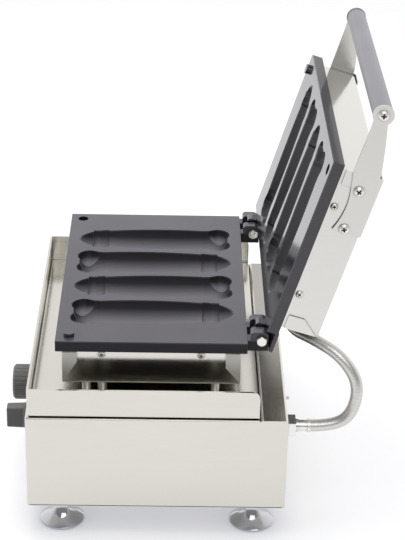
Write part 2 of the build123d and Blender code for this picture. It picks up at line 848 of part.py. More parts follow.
def drip_tray():
    """The splash tray: floor, front wall and two side walls with hemmed tops and rounded rear corners."""
    front = base_front + tray_front_setback
    rear = deck_front - tray_rear_gap
    top = tray_floor_z + tray_wall
    outer = block(-base_half, base_half, front, rear + 5, tray_floor_z, top)
    outer = fillet(outer.edges().filter_by(Axis.Z).sort_by(Axis.Y)[:2], tray_bend)
    outer = fillet([e for e in outer.faces().sort_by(Axis.Z)[0].edges() if e.center().Y < rear], tray_bend)
    inner_half = base_half - tray_sheet
    inner = block(-inner_half, inner_half, front + tray_sheet, rear + 6, tray_floor_z + tray_sheet, top + 1)
    inside_bend = tray_bend - tray_sheet
    inner = fillet(inner.edges().filter_by(Axis.Z).sort_by(Axis.Y)[:2], inside_bend)
    low_edges = [e for e in inner.faces().sort_by(Axis.Z)[0].edges() if e.center().Y < rear]
    inner = fillet(low_edges, inside_bend)
    form = outer - inner
    inner_half -= tray_sheet
    wide = base_half - tray_sheet
    hem = block(-wide, wide, front + tray_sheet, rear + 5, top - tray_hem, top)
    hem -= block(-inner_half, inner_half, front + 2 * tray_sheet, rear + 6, top - tray_hem - 1, top + 1)
    hem = hem & outer
    form += hem
    keep = Plane.YZ * make_face(
        [
            Line((front - 1, tray_floor_z), (rear, tray_floor_z)),
            Line((rear, tray_floor_z), (rear, top - tray_corner)),
            CenterArc((rear - tray_corner, top - tray_corner), tray_corner, 0, 90),
            Line((rear - tray_corner, top), (front - 1, top)),
            Line((front - 1, top), (front - 1, tray_floor_z)),
        ]
    )
    form = form & (Pos(-base_half, 0, 0) * extrude(keep, base_width, dir=(1, 0, 0)))
    y = tray_middle()
    hole = Pos(0, y, tray_floor_z + 1) * Box(tray_hole_x, tray_hole_y, 4)
    form -= fillet(hole.edges().filter_by(Axis.Z), tray_hole_corner)
    return form


def standoff_positions():
    """Where the lower casing stands on the tray, as places on the table."""
    return [(side * standoff_x, hinge_y - s) for s in standoff_places for side in (-1, 1)]


def temperature_knob():
    """The round knob with shallow finger flutes and a mark on its face."""
    y0 = base_front - knob_gap
    y1 = base_front - round_knob_reach
    length = y0 - y1
    radius = round_knob_radius
    outline = Polyline(
        (0, 0),
        (radius - knob_back_edge, 0),
        (radius, knob_back_edge),
        (radius, length - knob_front_edge),
        (radius - knob_front_edge, length),
        (0, length),
        close=True,
    )
    form = revolve(Plane.XZ * make_face(outline.edges()), Axis.Z, 360)
    for index in range(flute_count):
        flute = Cylinder(flute_radius, length)
        flute = Pos(radius + flute_radius - flute_depth, 0, flute_start + length / 2) * flute
        form -= Rot(0, 0, index * 360 / flute_count) * flute
    form -= Pos(0, radius - knob_front_edge - knob_mark_inset, length) * Box(*knob_mark)
    form = Pos(round_knob_x, y0, knob_z) * Rot(90, 0, 0) * form
    form -= rod_y(shaft_radius, y0 - knob_socket, y0 + 1, round_knob_x, knob_z)
    return form


def timer_knob():
    """The bar-grip knob on its round skirt."""
    y0 = base_front - knob_gap
    y1 = base_front - bar_knob_reach
    depth = y0 - y1
    skirt = Cylinder(bar_skirt_radius, bar_skirt_depth, align=(Align.CENTER, Align.CENTER, Align.MIN))
    skirt = fillet(skirt.edges().sort_by(Axis.Z)[-1], 2.5)
    bar = extrude(Plane.XY * RectangleRounded(bar_width, bar_height, bar_corner), depth, taper=bar_taper)
    bar = fillet(bar.faces().sort_by(Axis.Z)[-1].edges(), 1.5)
    form = skirt + bar
    form -= Pos(0, bar_height / 2 - knob_mark_inset, depth) * Box(*knob_mark)
    form = Pos(bar_knob_x, y0, knob_z) * Rot(90, 0, 0) * form
    form -= rod_y(shaft_radius, y0 - knob_socket, y0 + 1, bar_knob_x, knob_z)
    return form


def shaft(x):
    """A control shaft from inside the knob to inside the control's bushing."""
    return rod_y(shaft_radius, base_front - knob_gap - knob_socket, base_front + shaft_inside, x, knob_z)


def control(x, size, depth):
    """A thermostat or timer body behind the front wall with its threaded bushing."""
    seat = base_front + base_sheet
    form = block(x - size / 2, x + size / 2, seat + 3, seat + 3 + depth, knob_z - size / 2, knob_z + size / 2)
    form = fillet(form.edges().filter_by(Axis.Y), 3)
    form += rod_y(bushing_radius + 4, seat, seat + 3, x, knob_z)
    form += rod_y(bushing_radius, base_front - 0.3, seat, x, knob_z)
    form -= rod_y(shaft_radius + shaft_fit, base_front - 1, base_front + shaft_inside + 0.5, x, knob_z)
    return form


def lamp(x):
    """A pilot lamp: bezel, domed lens and body behind the front wall."""
    z = knob_z
    bezel = rod_y(lamp_bezel_radius, base_front - lamp_bezel_height, base_front, x, z)
    lens = Pos(x, base_front + lamp_dome_set_back, z) * Sphere(lamp_dome_radius)
    lens = lens & rod_y(lamp_radius - 1, base_front - lamp_dome_radius, base_front, x, z)
    body = rod_y(lamp_radius, base_front, base_front + lamp_body_depth, x, z)
    seat = base_front + base_sheet
    nut = hexagon_y(lamp_nut_flats, seat, seat + lock_nut_height, x, z)
    return bezel + lens + body + nut


def hose_block():
    """The fitting on the back wall: a small block, a ring, a turned body and a collar."""
    x0 = fitting_x - block_width / 2
    z0 = fitting_z - block_height / 2
    y = base_rear
    form = block(x0, x0 + block_width, y, y + block_depth, z0, z0 + block_height)
    form = fillet(form.edges().filter_by(Axis.Y), 1.2)
    y += block_depth
    form += rod_y(fitting_ring_radius, y, y + fitting_ring_length, fitting_x, fitting_z)
    y += fitting_ring_length
    form += rod_y(fitting_body_radius, y, y + fitting_body_length, fitting_x, fitting_z)
    form += rod_y(fitting_body_radius - 1, base_rear - 12, base_rear, fitting_x, fitting_z)
    inside = base_rear - base_sheet
    form += hexagon_y(fitting_nut_flats, inside - lock_nut_height, inside, fitting_x, fitting_z)
    return form


def hose_start():
    """Where the hose leaves its ferrule."""
    return base_rear + block_depth + fitting_ring_length + fitting_body_length + fitting_collar_length


def ferrule():
    """The crimped ferrule at the hose's lower end."""
    y1 = hose_start()
    return rod_y(fitting_collar_radius, y1 - fitting_collar_length, y1, fitting_x, fitting_z)


def hose_route():
    """The hose's points, from the ferrule round behind the hinge to the gland on the lid."""
    end = place_lid(Pos(elbow_x + elbow_reach, casing_near + elbow_drop, elbow_n) * Sphere(1)).center()
    start = hose_start()
    points = [
        (fitting_x, start, fitting_z),
        (fitting_x, start + 23.0, fitting_z),
        (165.0, start + 44.0, 141.0),
        (161.0, start + 50.5, 177.0),
        (152.0, start + 31.5, 205.0),
        (137.0, start + 3.5, 217.0),
        (108.0, end.Y, end.Z),
        (end.X, end.Y, end.Z),
    ]
    return points


def hose():
    """The braided hose: straight runs joined by tangent arcs."""
    points = hose_route()
    radii = []
    for before, here, after in zip(points, points[1:], points[2:]):
        run_in = Vector(*here) - Vector(*before)
        run_out = Vector(*after) - Vector(*here)
        turn = math.radians(run_in.get_angle(run_out))
        shorter = min(run_in.length, run_out.length)
        radii.append(0.45 * shorter / math.tan(turn / 2))
        print("hose turn", round(math.degrees(turn)), "degrees, radius", round(radii[-1]))
    path = FilletPolyline(*points, radius=radii)
    section = Plane(origin=points[0], z_dir=(0, 1, 0)) * Circle(hose_radius)
    form = sweep(section, path=path)
    whole = path.length * math.pi * hose_radius**2
    print("hose length", round(path.length), "volume ratio", round(form.volume / whole, 4))
    return form


def cord_gland():
    """The cord inlet: a hexagon gland on the back wall with its nut inside."""
    inside = base_rear - base_sheet
    form = hexagon_y(gland_flats, base_rear, base_rear + gland_flange, gland_x, gland_z)
    cap = rod_y(gland_radius, base_rear + gland_flange, base_rear + gland_reach, gland_x, gland_z)
    form += fillet(cap.edges().sort_by(Axis.Y)[-1], gland_round)
    form += rod_y(gland_radius - 2, base_rear - 10, base_rear, gland_x, gland_z)
    form += hexagon_y(gland_flats - 4, inside - 4, inside, gland_x, gland_z)
    return form - rod_y(gland_bore, base_rear - 10, base_rear + gland_reach, gland_x, gland_z)


def rear_screws():
    """The back wall's screws and, high on the right, the stud whose end stands out."""
    x, z = rear_stud_place
    forms = [rod_y(rear_stud_radius, base_rear - base_sheet - 6, base_rear + rear_stud_proud, x, z)]
    for x, z in rear_screw_places:
        screw = Rot(0, 0, 90) * pan_screw(rear_screw_radius, base_sheet + 6, rear_screw_head)
        forms.append(Pos(x, base_rear, z) * screw)
    return Compound(forms)


def terminal_block():
    """The terminal block on the base's floor."""
    z0 = base_floor_z + base_sheet
    y = base_rear - terminal_setback - terminal_width / 2
    half_x = terminal_length / 2
    half_y = terminal_width / 2
    form = block(gland_x - half_x, gland_x + half_x, y - half_y, y + half_y, z0, z0 + terminal_height)
    for index in (-1, 0, 1):
        x = gland_x + index * terminal_pitch
        form -= rod_z(terminal_hole_radius, z0 + terminal_height - 10, z0 + terminal_height + 1, x, y)
    return form


def main():
    os.makedirs("parts", exist_ok=True)
    save("base_shell", base_shell())
    save("base_bottom_plate", bottom_plate())
    save("base_top_plate", top_plate())
    save("rear_panel", rear_panel())
    save("drip_tray", drip_tray())
    for name, (x, y) in foot_places().items():
        save(name, foot(x, y))
    middle = tray_middle()
    z0 = base_top_z - base_sheet
    spacers = []
    for x, y in standoff_positions():
        spacers.append(rod_z(spacer_radius, z0, tray_floor_z, x, y))
    save("tray_spacers", Compound(spacers))
    floor = tray_floor_z + tray_sheet
    for index, (x, y) in enumerate(standoff_positions()):
        save("casing_standoff_" + str(index + 1), rod_z(standoff_radius, floor, hinge_z + casing_back, x, y))
    sleeve = rod_z(sleeve_radius, z0 - base_sheet - 3, hinge_z + casing_back, 0, middle)
    sleeve -= rod_z(sleeve_radius - sleeve_wall, z0 - base_sheet - 3, hinge_z + casing_back, 0, middle)
    save("wiring_sleeve", sleeve)
    save("lower_casing", place_base(casing()))
    save("lower_casing_screws", place_base(casing_screws()))
    save("lower_plate", place_base(lower_plate()))
    save("lower_heater", place_base(heater()))
    save("lower_heater_clamp", place_base(clamp_plate()))
    save("lower_clamp_screws", place_base(clamp_screws()))
    save("lower_insulation", place_base(mat()))
    for side, word in ((-1, "left"), (1, "right")):
        save("hinge_bolt_" + word, place_base(hinge_bolt(side)))
        save("hinge_nut_" + word, place_base(hinge_nut(side)))
    save("upper_plate", place_lid(upper_plate()))
    save("upper_casing", place_lid(upper_casing()))
    save("upper_casing_screws", place_lid(mirror(casing_screws(), Plane.XY)))
    save("upper_heater", place_lid(mirror(heater(), Plane.XY)))
    save("upper_heater_clamp", place_lid(mirror(clamp_plate(), Plane.XY)))
    save("upper_clamp_screws", place_lid(mirror(clamp_screws(), Plane.XY)))
    save("upper_insulation", place_lid(mirror(mat(), Plane.XY)))
    save("handle_arm_left", place_lid(arm(-1)))
    save("handle_arm_right", place_lid(arm(1)))
    screws, nuts = arm_fixings()
    save("arm_screws", place_lid(screws))
    save("arm_nuts", place_lid(nuts))
    ring = arm_inner - grip_ring
    rod = rod_x(tie_rod_radius, -arm_inner, arm_inner, -handle_s, handle_n)
    grip = rod_x(grip_radius, -ring, ring, -handle_s, handle_n)
    grip -= rod_x(tie_rod_radius, -ring, ring, -handle_s, handle_n)
    save("handle_grip", place_lid(grip))
    for side, word in ((-1, "left"), (1, "right")):
        x0, x1 = sorted((side * ring, side * arm_inner))
        cap = rod_x(grip_ring_radius, x0, x1, -handle_s, handle_n)
        cap = fillet(cap.edges().filter_by(GeomType.CIRCLE), 0.6)
        save("handle_ring_" + word, place_lid(cap - rod_x(tie_rod_radius, x0, x1, -handle_s, handle_n)))
        screw = pan_screw(end_screw_radius, arm_sheet + end_screw_grip, end_screw_head)
        if side < 0:
            screw = Rot(0, 0, 180) * screw
        x0, x1 = sorted((side * (arm_inner - end_screw_grip), side * arm_inner))
        rod -= rod_x(end_screw_radius, x0, x1, -handle_s, handle_n)
        screw = Pos(side * (arm_inner + arm_sheet), -handle_s, handle_n) * screw
        save("handle_screw_" + word, place_lid(screw))
    save("handle_tie_rod", place_lid(rod))
    save("lid_hose_gland", place_lid(elbow()))
    save("temperature_knob", temperature_knob())
    save("temperature_shaft", shaft(round_knob_x))
    save("timer_knob", timer_knob())
    save("timer_shaft", shaft(bar_knob_x))
    save("thermostat", control(round_knob_x, thermostat_size, thermostat_depth))
    save("timer", control(bar_knob_x, timer_size, timer_depth))
    for index, x in enumerate(lamp_places):
        save("pilot_lamp_" + str(index + 1), lamp(x))
    save("terminal_block", terminal_block())
    save("cord_gland", cord_gland())
    save("rear_screws", rear_screws())
    save("hose_block", hose_block())
    save("hose_ferrule", ferrule())
    save("hose", hose())


main()
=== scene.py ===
import bpy
import bmesh
import json
import math
from mathutils import Matrix, Vector


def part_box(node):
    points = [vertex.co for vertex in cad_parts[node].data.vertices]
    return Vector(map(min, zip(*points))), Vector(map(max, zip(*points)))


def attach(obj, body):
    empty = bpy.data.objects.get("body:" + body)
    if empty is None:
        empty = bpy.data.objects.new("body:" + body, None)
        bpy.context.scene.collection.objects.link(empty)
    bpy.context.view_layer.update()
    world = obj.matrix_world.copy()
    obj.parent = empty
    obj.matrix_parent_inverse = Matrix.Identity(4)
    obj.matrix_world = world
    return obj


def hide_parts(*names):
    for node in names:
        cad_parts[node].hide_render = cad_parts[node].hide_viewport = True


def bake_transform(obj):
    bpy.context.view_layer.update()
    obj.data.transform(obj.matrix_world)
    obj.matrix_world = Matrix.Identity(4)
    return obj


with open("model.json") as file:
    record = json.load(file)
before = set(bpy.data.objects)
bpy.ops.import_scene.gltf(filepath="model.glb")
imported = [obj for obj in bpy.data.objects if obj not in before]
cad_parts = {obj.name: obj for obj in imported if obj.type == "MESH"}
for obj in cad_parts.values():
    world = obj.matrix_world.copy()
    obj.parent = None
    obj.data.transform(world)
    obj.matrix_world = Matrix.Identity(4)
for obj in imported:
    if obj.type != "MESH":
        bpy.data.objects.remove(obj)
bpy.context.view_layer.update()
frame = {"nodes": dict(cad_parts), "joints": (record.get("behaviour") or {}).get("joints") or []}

scene = bpy.context.scene
nodes = frame["nodes"]
mm = 0.001

hingeJoint = [j for j in frame["joints"] if j["name"] == "lid_hinge"][0]
hingePos = Vector(hingeJoint["pos_m"])
lidAngle = math.radians(hingeJoint["range_deg"][1])
alongLid = Vector((0, -math.cos(lidAngle), math.sin(lidAngle)))  # from the hinge up the open lid
behindLid = Vector((0, math.sin(lidAngle), math.cos(lidAngle)))  # from the plate's face to the casing's back
print("frame loaded:", len(nodes), "nodes")


def lidPoint(x, s, n):  # a place on the open lid, in millimetres from the hinge axis
    return hingePos + Vector((x * mm, 0, 0)) + alongLid * (s * mm) + behindLid * (n * mm)


def basePoint(x, s, n):  # the same place on the lower unit, with s towards the front and n downwards
    return hingePos + Vector((x * mm, -s * mm, -n * mm))


# Camera, at the photograph's place.
cameraSet = {
    "place": (1.73887, -0.01764, 1.10623),
    "yaw": 1.11,
    "pitch": 26.75,
    "roll": 1.31,
    "lens": 114.48,
    "sensor": 36.0,
}


def makeCamera(values):
    yaw, pitch, roll = (math.radians(values[k]) for k in ("yaw", "pitch", "roll"))
    forward = Vector((-math.cos(pitch) * math.cos(yaw), math.cos(pitch) * math.sin(yaw), -math.sin(pitch)))
    right = forward.cross(Vector((0, 0, 1))).normalized()
    up = right.cross(forward)
    camRight = right * math.cos(roll) + up * math.sin(roll)
    camUp = up * math.cos(roll) - right * math.sin(roll)
    data = bpy.data.cameras.new("camera")
    data.lens = values["lens"]
    data.sensor_width = values["sensor"]
    data.sensor_fit = "AUTO"
    camera = bpy.data.objects.new("camera", data)
    scene.collection.objects.link(camera)
    basis = Matrix((camRight, camUp, -forward)).transposed().to_4x4()
    camera.matrix_world = Matrix.Translation(values["place"]) @ basis
    scene.camera = camera


makeCamera(cameraSet)
print("camera set")


# Helpers that add nodes to shader and geometry trees.
noiseSpan = (0.3, 0.7)  # where nearly all of a noise texture's values lie


def newGroup(name, inputs, outputs):
    tree = bpy.data.node_groups.new(name, "ShaderNodeTree")
    for label, kind, value in inputs:
        socket = tree.interface.new_socket(label, in_out="INPUT", socket_type=kind)
        socket.default_value = value
    for label, kind in outputs:
        tree.interface.new_socket(label, in_out="OUTPUT", socket_type=kind)
    return tree, tree.nodes.new("NodeGroupInput"), tree.nodes.new("NodeGroupOutput")


def addNode(tree, kind, settings=None, values=None, links=None):
    node = tree.nodes.new(kind)
    for key, value in (settings or {}).items():
        setattr(node, key, value)
    for key, value in (values or {}).items():
        node.inputs[key].default_value = value
    for key, source in (links or {}).items():
        tree.links.new(source, node.inputs[key])
    return node


def mathNode(tree, operation, first, second):
    node = tree.nodes.new("ShaderNodeMath")
    node.operation = operation
    for index, item in enumerate((first, second)):
        if isinstance(item, (int, float)):
            node.inputs[index].default_value = item
        else:
            tree.links.new(item, node.inputs[index])
    return node.outputs[0]


def newMaterial(name):
    material = bpy.data.materials.new(name)
    material.use_nodes = True
    tree = material.node_tree
    return material, tree, tree.nodes["Principled BSDF"]


def groupNode(tree, group, values):
    node = tree.nodes.new("ShaderNodeGroup")
    node.node_tree = group
    for key, value in values.items():
        node.inputs[key].default_value = value
    return node


def mapRange(tree, source, low, high, fromLow=noiseSpan[0], fromHigh=noiseSpan[1]):
    values = {"From Min": fromLow, "From Max": fromHigh, "To Min": low, "To Max": high}
    return addNode(tree, "ShaderNodeMapRange", values=values, links={"Value": source}).outputs["Result"]


def mixColor(tree, factor, first, second):
    node = tree.nodes.new("ShaderNodeMix")
    node.data_type = "RGBA"
    tree.links.new(factor, node.inputs["Factor"])
    for key, item in (("A", first), ("B", second)):
        socket = [s for s in node.inputs if s.name == key and s.type == "RGBA"][0]
        if isinstance(item, tuple):
            socket.default_value = (*item, 1)
        else:
            tree.links.new(item, socket)
    return [s for s in node.outputs if s.type == "RGBA"][0]


# Floor, world and lights: a white studio with soft boxes.
studioSet = {
    "floorSize": 6.0,
    "floorColor": (0.25, 0.25, 0.26),
    "floorGlow": (0.99, 0.99, 1.0),
    "floorShade": (0.40, 0.42, 0.49),  # its glow where something stands close above it, a painted contact shadow
    "floorReach": 0.045,  # how near that is, in metres
    "floorGlowStrength": 0.64,
    "floorRoughness": 0.55,
    "worldColor": (1.0, 1.0, 1.0),
    "farStrength": 1.25,  # the white sweep behind the object
    "nearStrength": 0.35,  # the dimmer room on the camera's side
    "farTo": -0.25,  # how far round each of them reaches, as the X of a direction
    "nearFrom": 0.55,
    "zenith": 0.68,  # the share of it that is left straight up
}
lightSet = [
    {
        "name": "overhead", "place": (-0.2, -0.1, 1.7), "aim": (0, 0, 0.2),
        "size": (1.6, 1.4), "power": 42.0, "mirrored": False,
    },
    {
        "name": "leftBox", "place": (0.4, -1.7, 0.9), "aim": (0, 0, 0.2),
        "size": (1.2, 1.0), "power": 5.0, "mirrored": False,
    },
    {
        "name": "nearBox", "place": (1.5, 0.35, 1.5), "aim": (0, 0, 0.1),
        "size": (1.4, 1.2), "power": 9.0, "mirrored": True,
    },
]


def makeFloor(values):
    mesh = bpy.data.meshes.new("floor")
    work = bmesh.new()
    bmesh.ops.create_grid(work, x_segments=2, y_segments=2, size=values["floorSize"])
    work.to_mesh(mesh)
    work.free()
    floor = bpy.data.objects.new("floor", mesh)
    scene.collection.objects.link(floor)
    material, tree, shader = newMaterial("studioFloor")
    shader.inputs["Base Color"].default_value = (*values["floorColor"], 1)
    shader.inputs["Roughness"].default_value = values["floorRoughness"]
    # painted contact shadow: the floor's glow turns to the shade colour where ambient occlusion finds
    # something close above
    near = addNode(tree, "ShaderNodeAmbientOcclusion", values={"Distance": values["floorReach"]})
    glow = mixColor(tree, near.outputs["AO"], values["floorShade"], values["floorGlow"])
    tree.links.new(glow, shader.inputs["Emission Color"])
    shader.inputs["Emission Strength"].default_value = values["floorGlowStrength"]
    mesh.materials.append(material)


def makeWorld(values):  # bright behind the object, dimmer on the camera's side and overhead
    world = bpy.data.worlds.new("studio")
    world.use_nodes = True
    tree = world.node_tree
    sky = tree.nodes["Background"]
    sky.inputs["Color"].default_value = (*values["worldColor"], 1)
    coords = addNode(tree, "ShaderNodeTexCoord")
    split = addNode(tree, "ShaderNodeSeparateXYZ", links={0: coords.outputs["Generated"]})
    fade = mapRange(
        tree, split.outputs["X"], values["farStrength"], values["nearStrength"],
        values["farTo"], values["nearFrom"],
    )
    lift = mapRange(tree, split.outputs["Z"], 1.0, values["zenith"], 0.0, 1.0)
    tree.links.new(mathNode(tree, "MULTIPLY", fade, lift), sky.inputs["Strength"])
    scene.world = world


def makeLight(values):
    data = bpy.data.lights.new(values["name"], "AREA")
    data.shape = "RECTANGLE"
    data.size, data.size_y = values["size"]
    data.energy = values["power"]
    light = bpy.data.objects.new(values["name"], data)
    light.visible_glossy = values["mirrored"]
    scene.collection.objects.link(light)
    place = Vector(values["place"])
    turn = (place - Vector(values["aim"])).to_track_quat("Z", "Y").to_matrix().to_4x4()
    light.matrix_world = Matrix.Translation(place) @ turn


makeFloor(studioSet)
makeWorld(studioSet)
for lightValues in lightSet:
    makeLight(lightValues)
scene.view_settings.view_transform = "Standard"
print("studio built")


# Shader groups shared by the materials.
grainSet = {
    "flatLimit": 0.75,  # a face whose normal rises past this takes the level sheet's lines
    "lineDetail": 3.0,
    "lineRoughness": 0.6,
    "dotDetail": 2.0,
    "dotRoughness": 0.7,
    "sheetCloudDetail": 2.0,
    "castCloudDetail": 3.0,
}
wearSet = {"bevelSamples": 4, "gain": 6.0, "patchScale": 60.0, "patchDetail": 3.0}
# the reach of the painted shade in seams, folds and corners
creviceSet = {"samples": 6, "reach": 0.0025}
depthSet = {"fade": 0.0012, "wallFrom": 0.58, "floorFrom": 0.94}  # the last two say how level a face is


def makeBrushedGroup():  # fine parallel scratches and slow cloudy changes on rolled sheet
    floatKind = "NodeSocketFloat"
    tree, source, sink = newGroup(
        "brushedSheet",
        [("Fineness", floatKind, 900.0), ("Length", floatKind, 9.0), ("Cloud", floatKind, 9.0)],
        [("Grain", floatKind), ("Cloud", floatKind)],
    )
    coords = addNode(tree, "ShaderNodeTexCoord")
    fine = source.outputs["Fineness"]
    long = source.outputs["Length"]
    flatScale = addNode(tree, "ShaderNodeCombineXYZ", links={"X": fine, "Y": long, "Z": long})
    wallScale = addNode(tree, "ShaderNodeCombineXYZ", links={"X": long, "Y": long, "Z": fine})
    grains = []
    for scale in (flatScale, wallScale):
        placed = addNode(
            tree,
            "ShaderNodeVectorMath",
            {"operation": "MULTIPLY"},
            links={0: coords.outputs["Object"], 1: scale.outputs[0]},
        )
        noise = addNode(tree, "ShaderNodeTexNoise", values={
            "Scale": 1.0, "Detail": grainSet["lineDetail"], "Roughness": grainSet["lineRoughness"],
        })
        tree.links.new(placed.outputs[0], noise.inputs["Vector"])
        grains.append(noise.outputs["Fac"])
    geometry = addNode(tree, "ShaderNodeNewGeometry")
    split = addNode(tree, "ShaderNodeSeparateXYZ", links={0: geometry.outputs["Normal"]})
    upness = mathNode(tree, "ABSOLUTE", split.outputs["Z"], 0.0)
    isFlat = mathNode(tree, "GREATER_THAN", upness, grainSet["flatLimit"])
    mixed = addNode(tree, "ShaderNodeMix", links={"Factor": isFlat, "A": grains[1], "B": grains[0]})
    tree.links.new(mixed.outputs["Result"], sink.inputs["Grain"])
    cloud = addNode(tree, "ShaderNodeTexNoise", values={"Detail": grainSet["sheetCloudDetail"]})
    tree.links.new(coords.outputs["Object"], cloud.inputs["Vector"])
    tree.links.new(source.outputs["Cloud"], cloud.inputs["Scale"])
    tree.links.new(cloud.outputs["Fac"], sink.inputs["Cloud"])
    return tree


def makeSpeckleGroup():  # a fine grain of dots, for cast, moulded and coated surfaces
    floatKind = "NodeSocketFloat"
    tree, source, sink = newGroup(
        "speckle",
        [("Fineness", floatKind, 1400.0), ("Cloud", floatKind, 14.0)],
        [("Dots", floatKind), ("Cloud", floatKind)],
    )
    coords = addNode(tree, "ShaderNodeTexCoord")
    dots = addNode(tree, "ShaderNodeTexNoise", values={
        "Detail": grainSet["dotDetail"], "Roughness": grainSet["dotRoughness"],
    })
    cloud = addNode(tree, "ShaderNodeTexNoise", values={"Detail": grainSet["castCloudDetail"]})
    for node, key in ((dots, "Fineness"), (cloud, "Cloud")):
        tree.links.new(coords.outputs["Object"], node.inputs["Vector"])
        tree.links.new(source.outputs[key], node.inputs["Scale"])
    tree.links.new(dots.outputs["Fac"], sink.inputs["Dots"])
    tree.links.new(cloud.outputs["Fac"], sink.inputs["Cloud"])
    return tree


def makeWearGroup():  # a mask that is high along sharp convex edges
    floatKind = "NodeSocketFloat"
    tree, source, sink = newGroup(
        "edgeWear", [("Width", floatKind, 0.0008), ("Amount", floatKind, 0.6)], [("Mask", floatKind)]
    )
    coords = addNode(tree, "ShaderNodeTexCoord")
    bevel = addNode(
        tree, "ShaderNodeBevel", {"samples": wearSet["bevelSamples"]},
        links={"Radius": source.outputs["Width"]},
    )
    geometry = addNode(tree, "ShaderNodeNewGeometry")
    dot = addNode(
        tree,
        "ShaderNodeVectorMath",
        {"operation": "DOT_PRODUCT"},
        links={0: bevel.outputs[0], 1: geometry.outputs["Normal"]},
    )
    edge = mathNode(tree, "MULTIPLY", mathNode(tree, "SUBTRACT", 1.0, dot.outputs["Value"]), wearSet["gain"])
    noise = addNode(tree, "ShaderNodeTexNoise", values={
        "Scale": wearSet["patchScale"], "Detail": wearSet["patchDetail"],
    })
    tree.links.new(coords.outputs["Object"], noise.inputs["Vector"])
    broken = mathNode(tree, "MULTIPLY", edge, noise.outputs["Fac"])
    scaled = mathNode(tree, "MULTIPLY", broken, source.outputs["Amount"])
    top = mathNode(tree, "MINIMUM", scaled, 1.0)
    tree.links.new(top, sink.inputs["Mask"])
    return tree


def makeCreviceGroup():  # a mask that is high in seams, folds and corners, where painted shade goes
    floatKind = "NodeSocketFloat"
    tree, source, sink = newGroup(
        "creviceShade",
        [("Reach", floatKind, creviceSet["reach"]), ("Amount", floatKind, 0.8)],
        [("Mask", floatKind)],
    )
    corner = addNode(
        tree, "ShaderNodeAmbientOcclusion", {"samples": creviceSet["samples"]},
        links={"Distance": source.outputs["Reach"]},
    )
    closed = mathNode(tree, "SUBTRACT", 1.0, corner.outputs["AO"])
    scaled = mathNode(tree, "MULTIPLY", closed, source.outputs["Amount"])
    top = mathNode(tree, "MINIMUM", scaled, 1.0)
    tree.links.new(top, sink.inputs["Mask"])
    return tree


def makeDepthGroup():  # masks for what lies below a flat face, and for the steep walls there, which take painted shade
    floatKind = "NodeSocketFloat"
    tree, source, sink = newGroup(
        "belowFace",
        [
            ("Inward", "NodeSocketVector", (0, 0, -1)), ("Level", floatKind, 0.0),
            ("Fade", floatKind, depthSet["fade"]),
        ],
        [("Mask", floatKind), ("Wall", floatKind)],
    )
    coords = addNode(tree, "ShaderNodeTexCoord")
    depth = addNode(
        tree, "ShaderNodeVectorMath", {"operation": "DOT_PRODUCT"},
        links={0: coords.outputs["Object"], 1: source.outputs["Inward"]},
    )
    past = mathNode(tree, "SUBTRACT", depth.outputs["Value"], source.outputs["Level"])
    share = mathNode(tree, "DIVIDE", past, source.outputs["Fade"])
    low = mathNode(tree, "MAXIMUM", share, 0.0)
    tree.links.new(mathNode(tree, "MINIMUM", low, 1.0), sink.inputs["Mask"])
    geometry = addNode(tree, "ShaderNodeNewGeometry")
    facing = addNode(
        tree, "ShaderNodeVectorMath", {"operation": "DOT_PRODUCT"},
        links={0: geometry.outputs["Normal"], 1: source.outputs["Inward"]},
    )
    levelness = mathNode(tree, "ABSOLUTE", facing.outputs["Value"], 0.0)
    steep = mapRange(tree, levelness, 1.0, 0.0, depthSet["wallFrom"], depthSet["floorFrom"])
    tree.links.new(steep, sink.inputs["Wall"])
    return tree


brushedGroup = makeBrushedGroup()
speckleGroup = makeSpeckleGroup()
wearGroup = makeWearGroup()
creviceGroup = makeCreviceGroup()
depthGroup = makeDepthGroup()
print("shader groups built")


# Materials.
bumpDepth = {"sheet": 0.2 * mm, "cast": 0.3 * mm}


def addBump(tree, shader, height, strength, distance):
    bump = tree.nodes.new("ShaderNodeBump")
    bump.inputs["Strength"].default_value = strength
    bump.inputs["Distance"].default_value = distance
    tree.links.new(height, bump.inputs["Height"])
    tree.links.new(bump.outputs[0], shader.inputs["Normal"])


# painted shade: the colour turns to a shade colour where ambient occlusion finds seams, folds and corners
def shadeSeams(tree, color, amount, paintedShade, reach=creviceSet["reach"]):
    crevice = groupNode(tree, creviceGroup, {"Amount": amount, "Reach": reach})
    return mixColor(tree, crevice.outputs["Mask"], color, paintedShade)


sheetSet = {"cloudShare": 0.35, "levelLimit": 0.995}


def brushedMaterial(name, values):
    material, tree, shader = newMaterial(name)
    shader.inputs["Metallic"].default_value = 1.0
    group = groupNode(tree, brushedGroup, {"Fineness": values["fineness"], "Length": values["length"]})
    color = mixColor(tree, mapRange(tree, group.outputs["Grain"], 0.0, 1.0), values["dark"], values["light"])
    cloud = mapRange(tree, group.outputs["Cloud"], 0.0, sheetSet["cloudShare"])
    shade = mixColor(tree, cloud, color, values["dark"])
    shade = shadeSeams(tree, shade, values["seam"], values["paintedShade"])
    if "paintedLevelShade" in values:  # level faces are darker, as painted shade and a painted reflection of the dark parts that they mirror
        geometry = addNode(tree, "ShaderNodeNewGeometry")
        split = addNode(tree, "ShaderNodeSeparateXYZ", links={0: geometry.outputs["Normal"]})
        level = mathNode(tree, "GREATER_THAN", split.outputs["Z"], sheetSet["levelLimit"])
        shade = mixColor(tree, level, shade, values["paintedLevelShade"])
    tree.links.new(shade, shader.inputs["Base Color"])
    tree.links.new(mapRange(tree, group.outputs["Grain"], *values["rough"]), shader.inputs["Roughness"])
    addBump(tree, shader, group.outputs["Grain"], values["bump"], bumpDepth["sheet"])
    return material


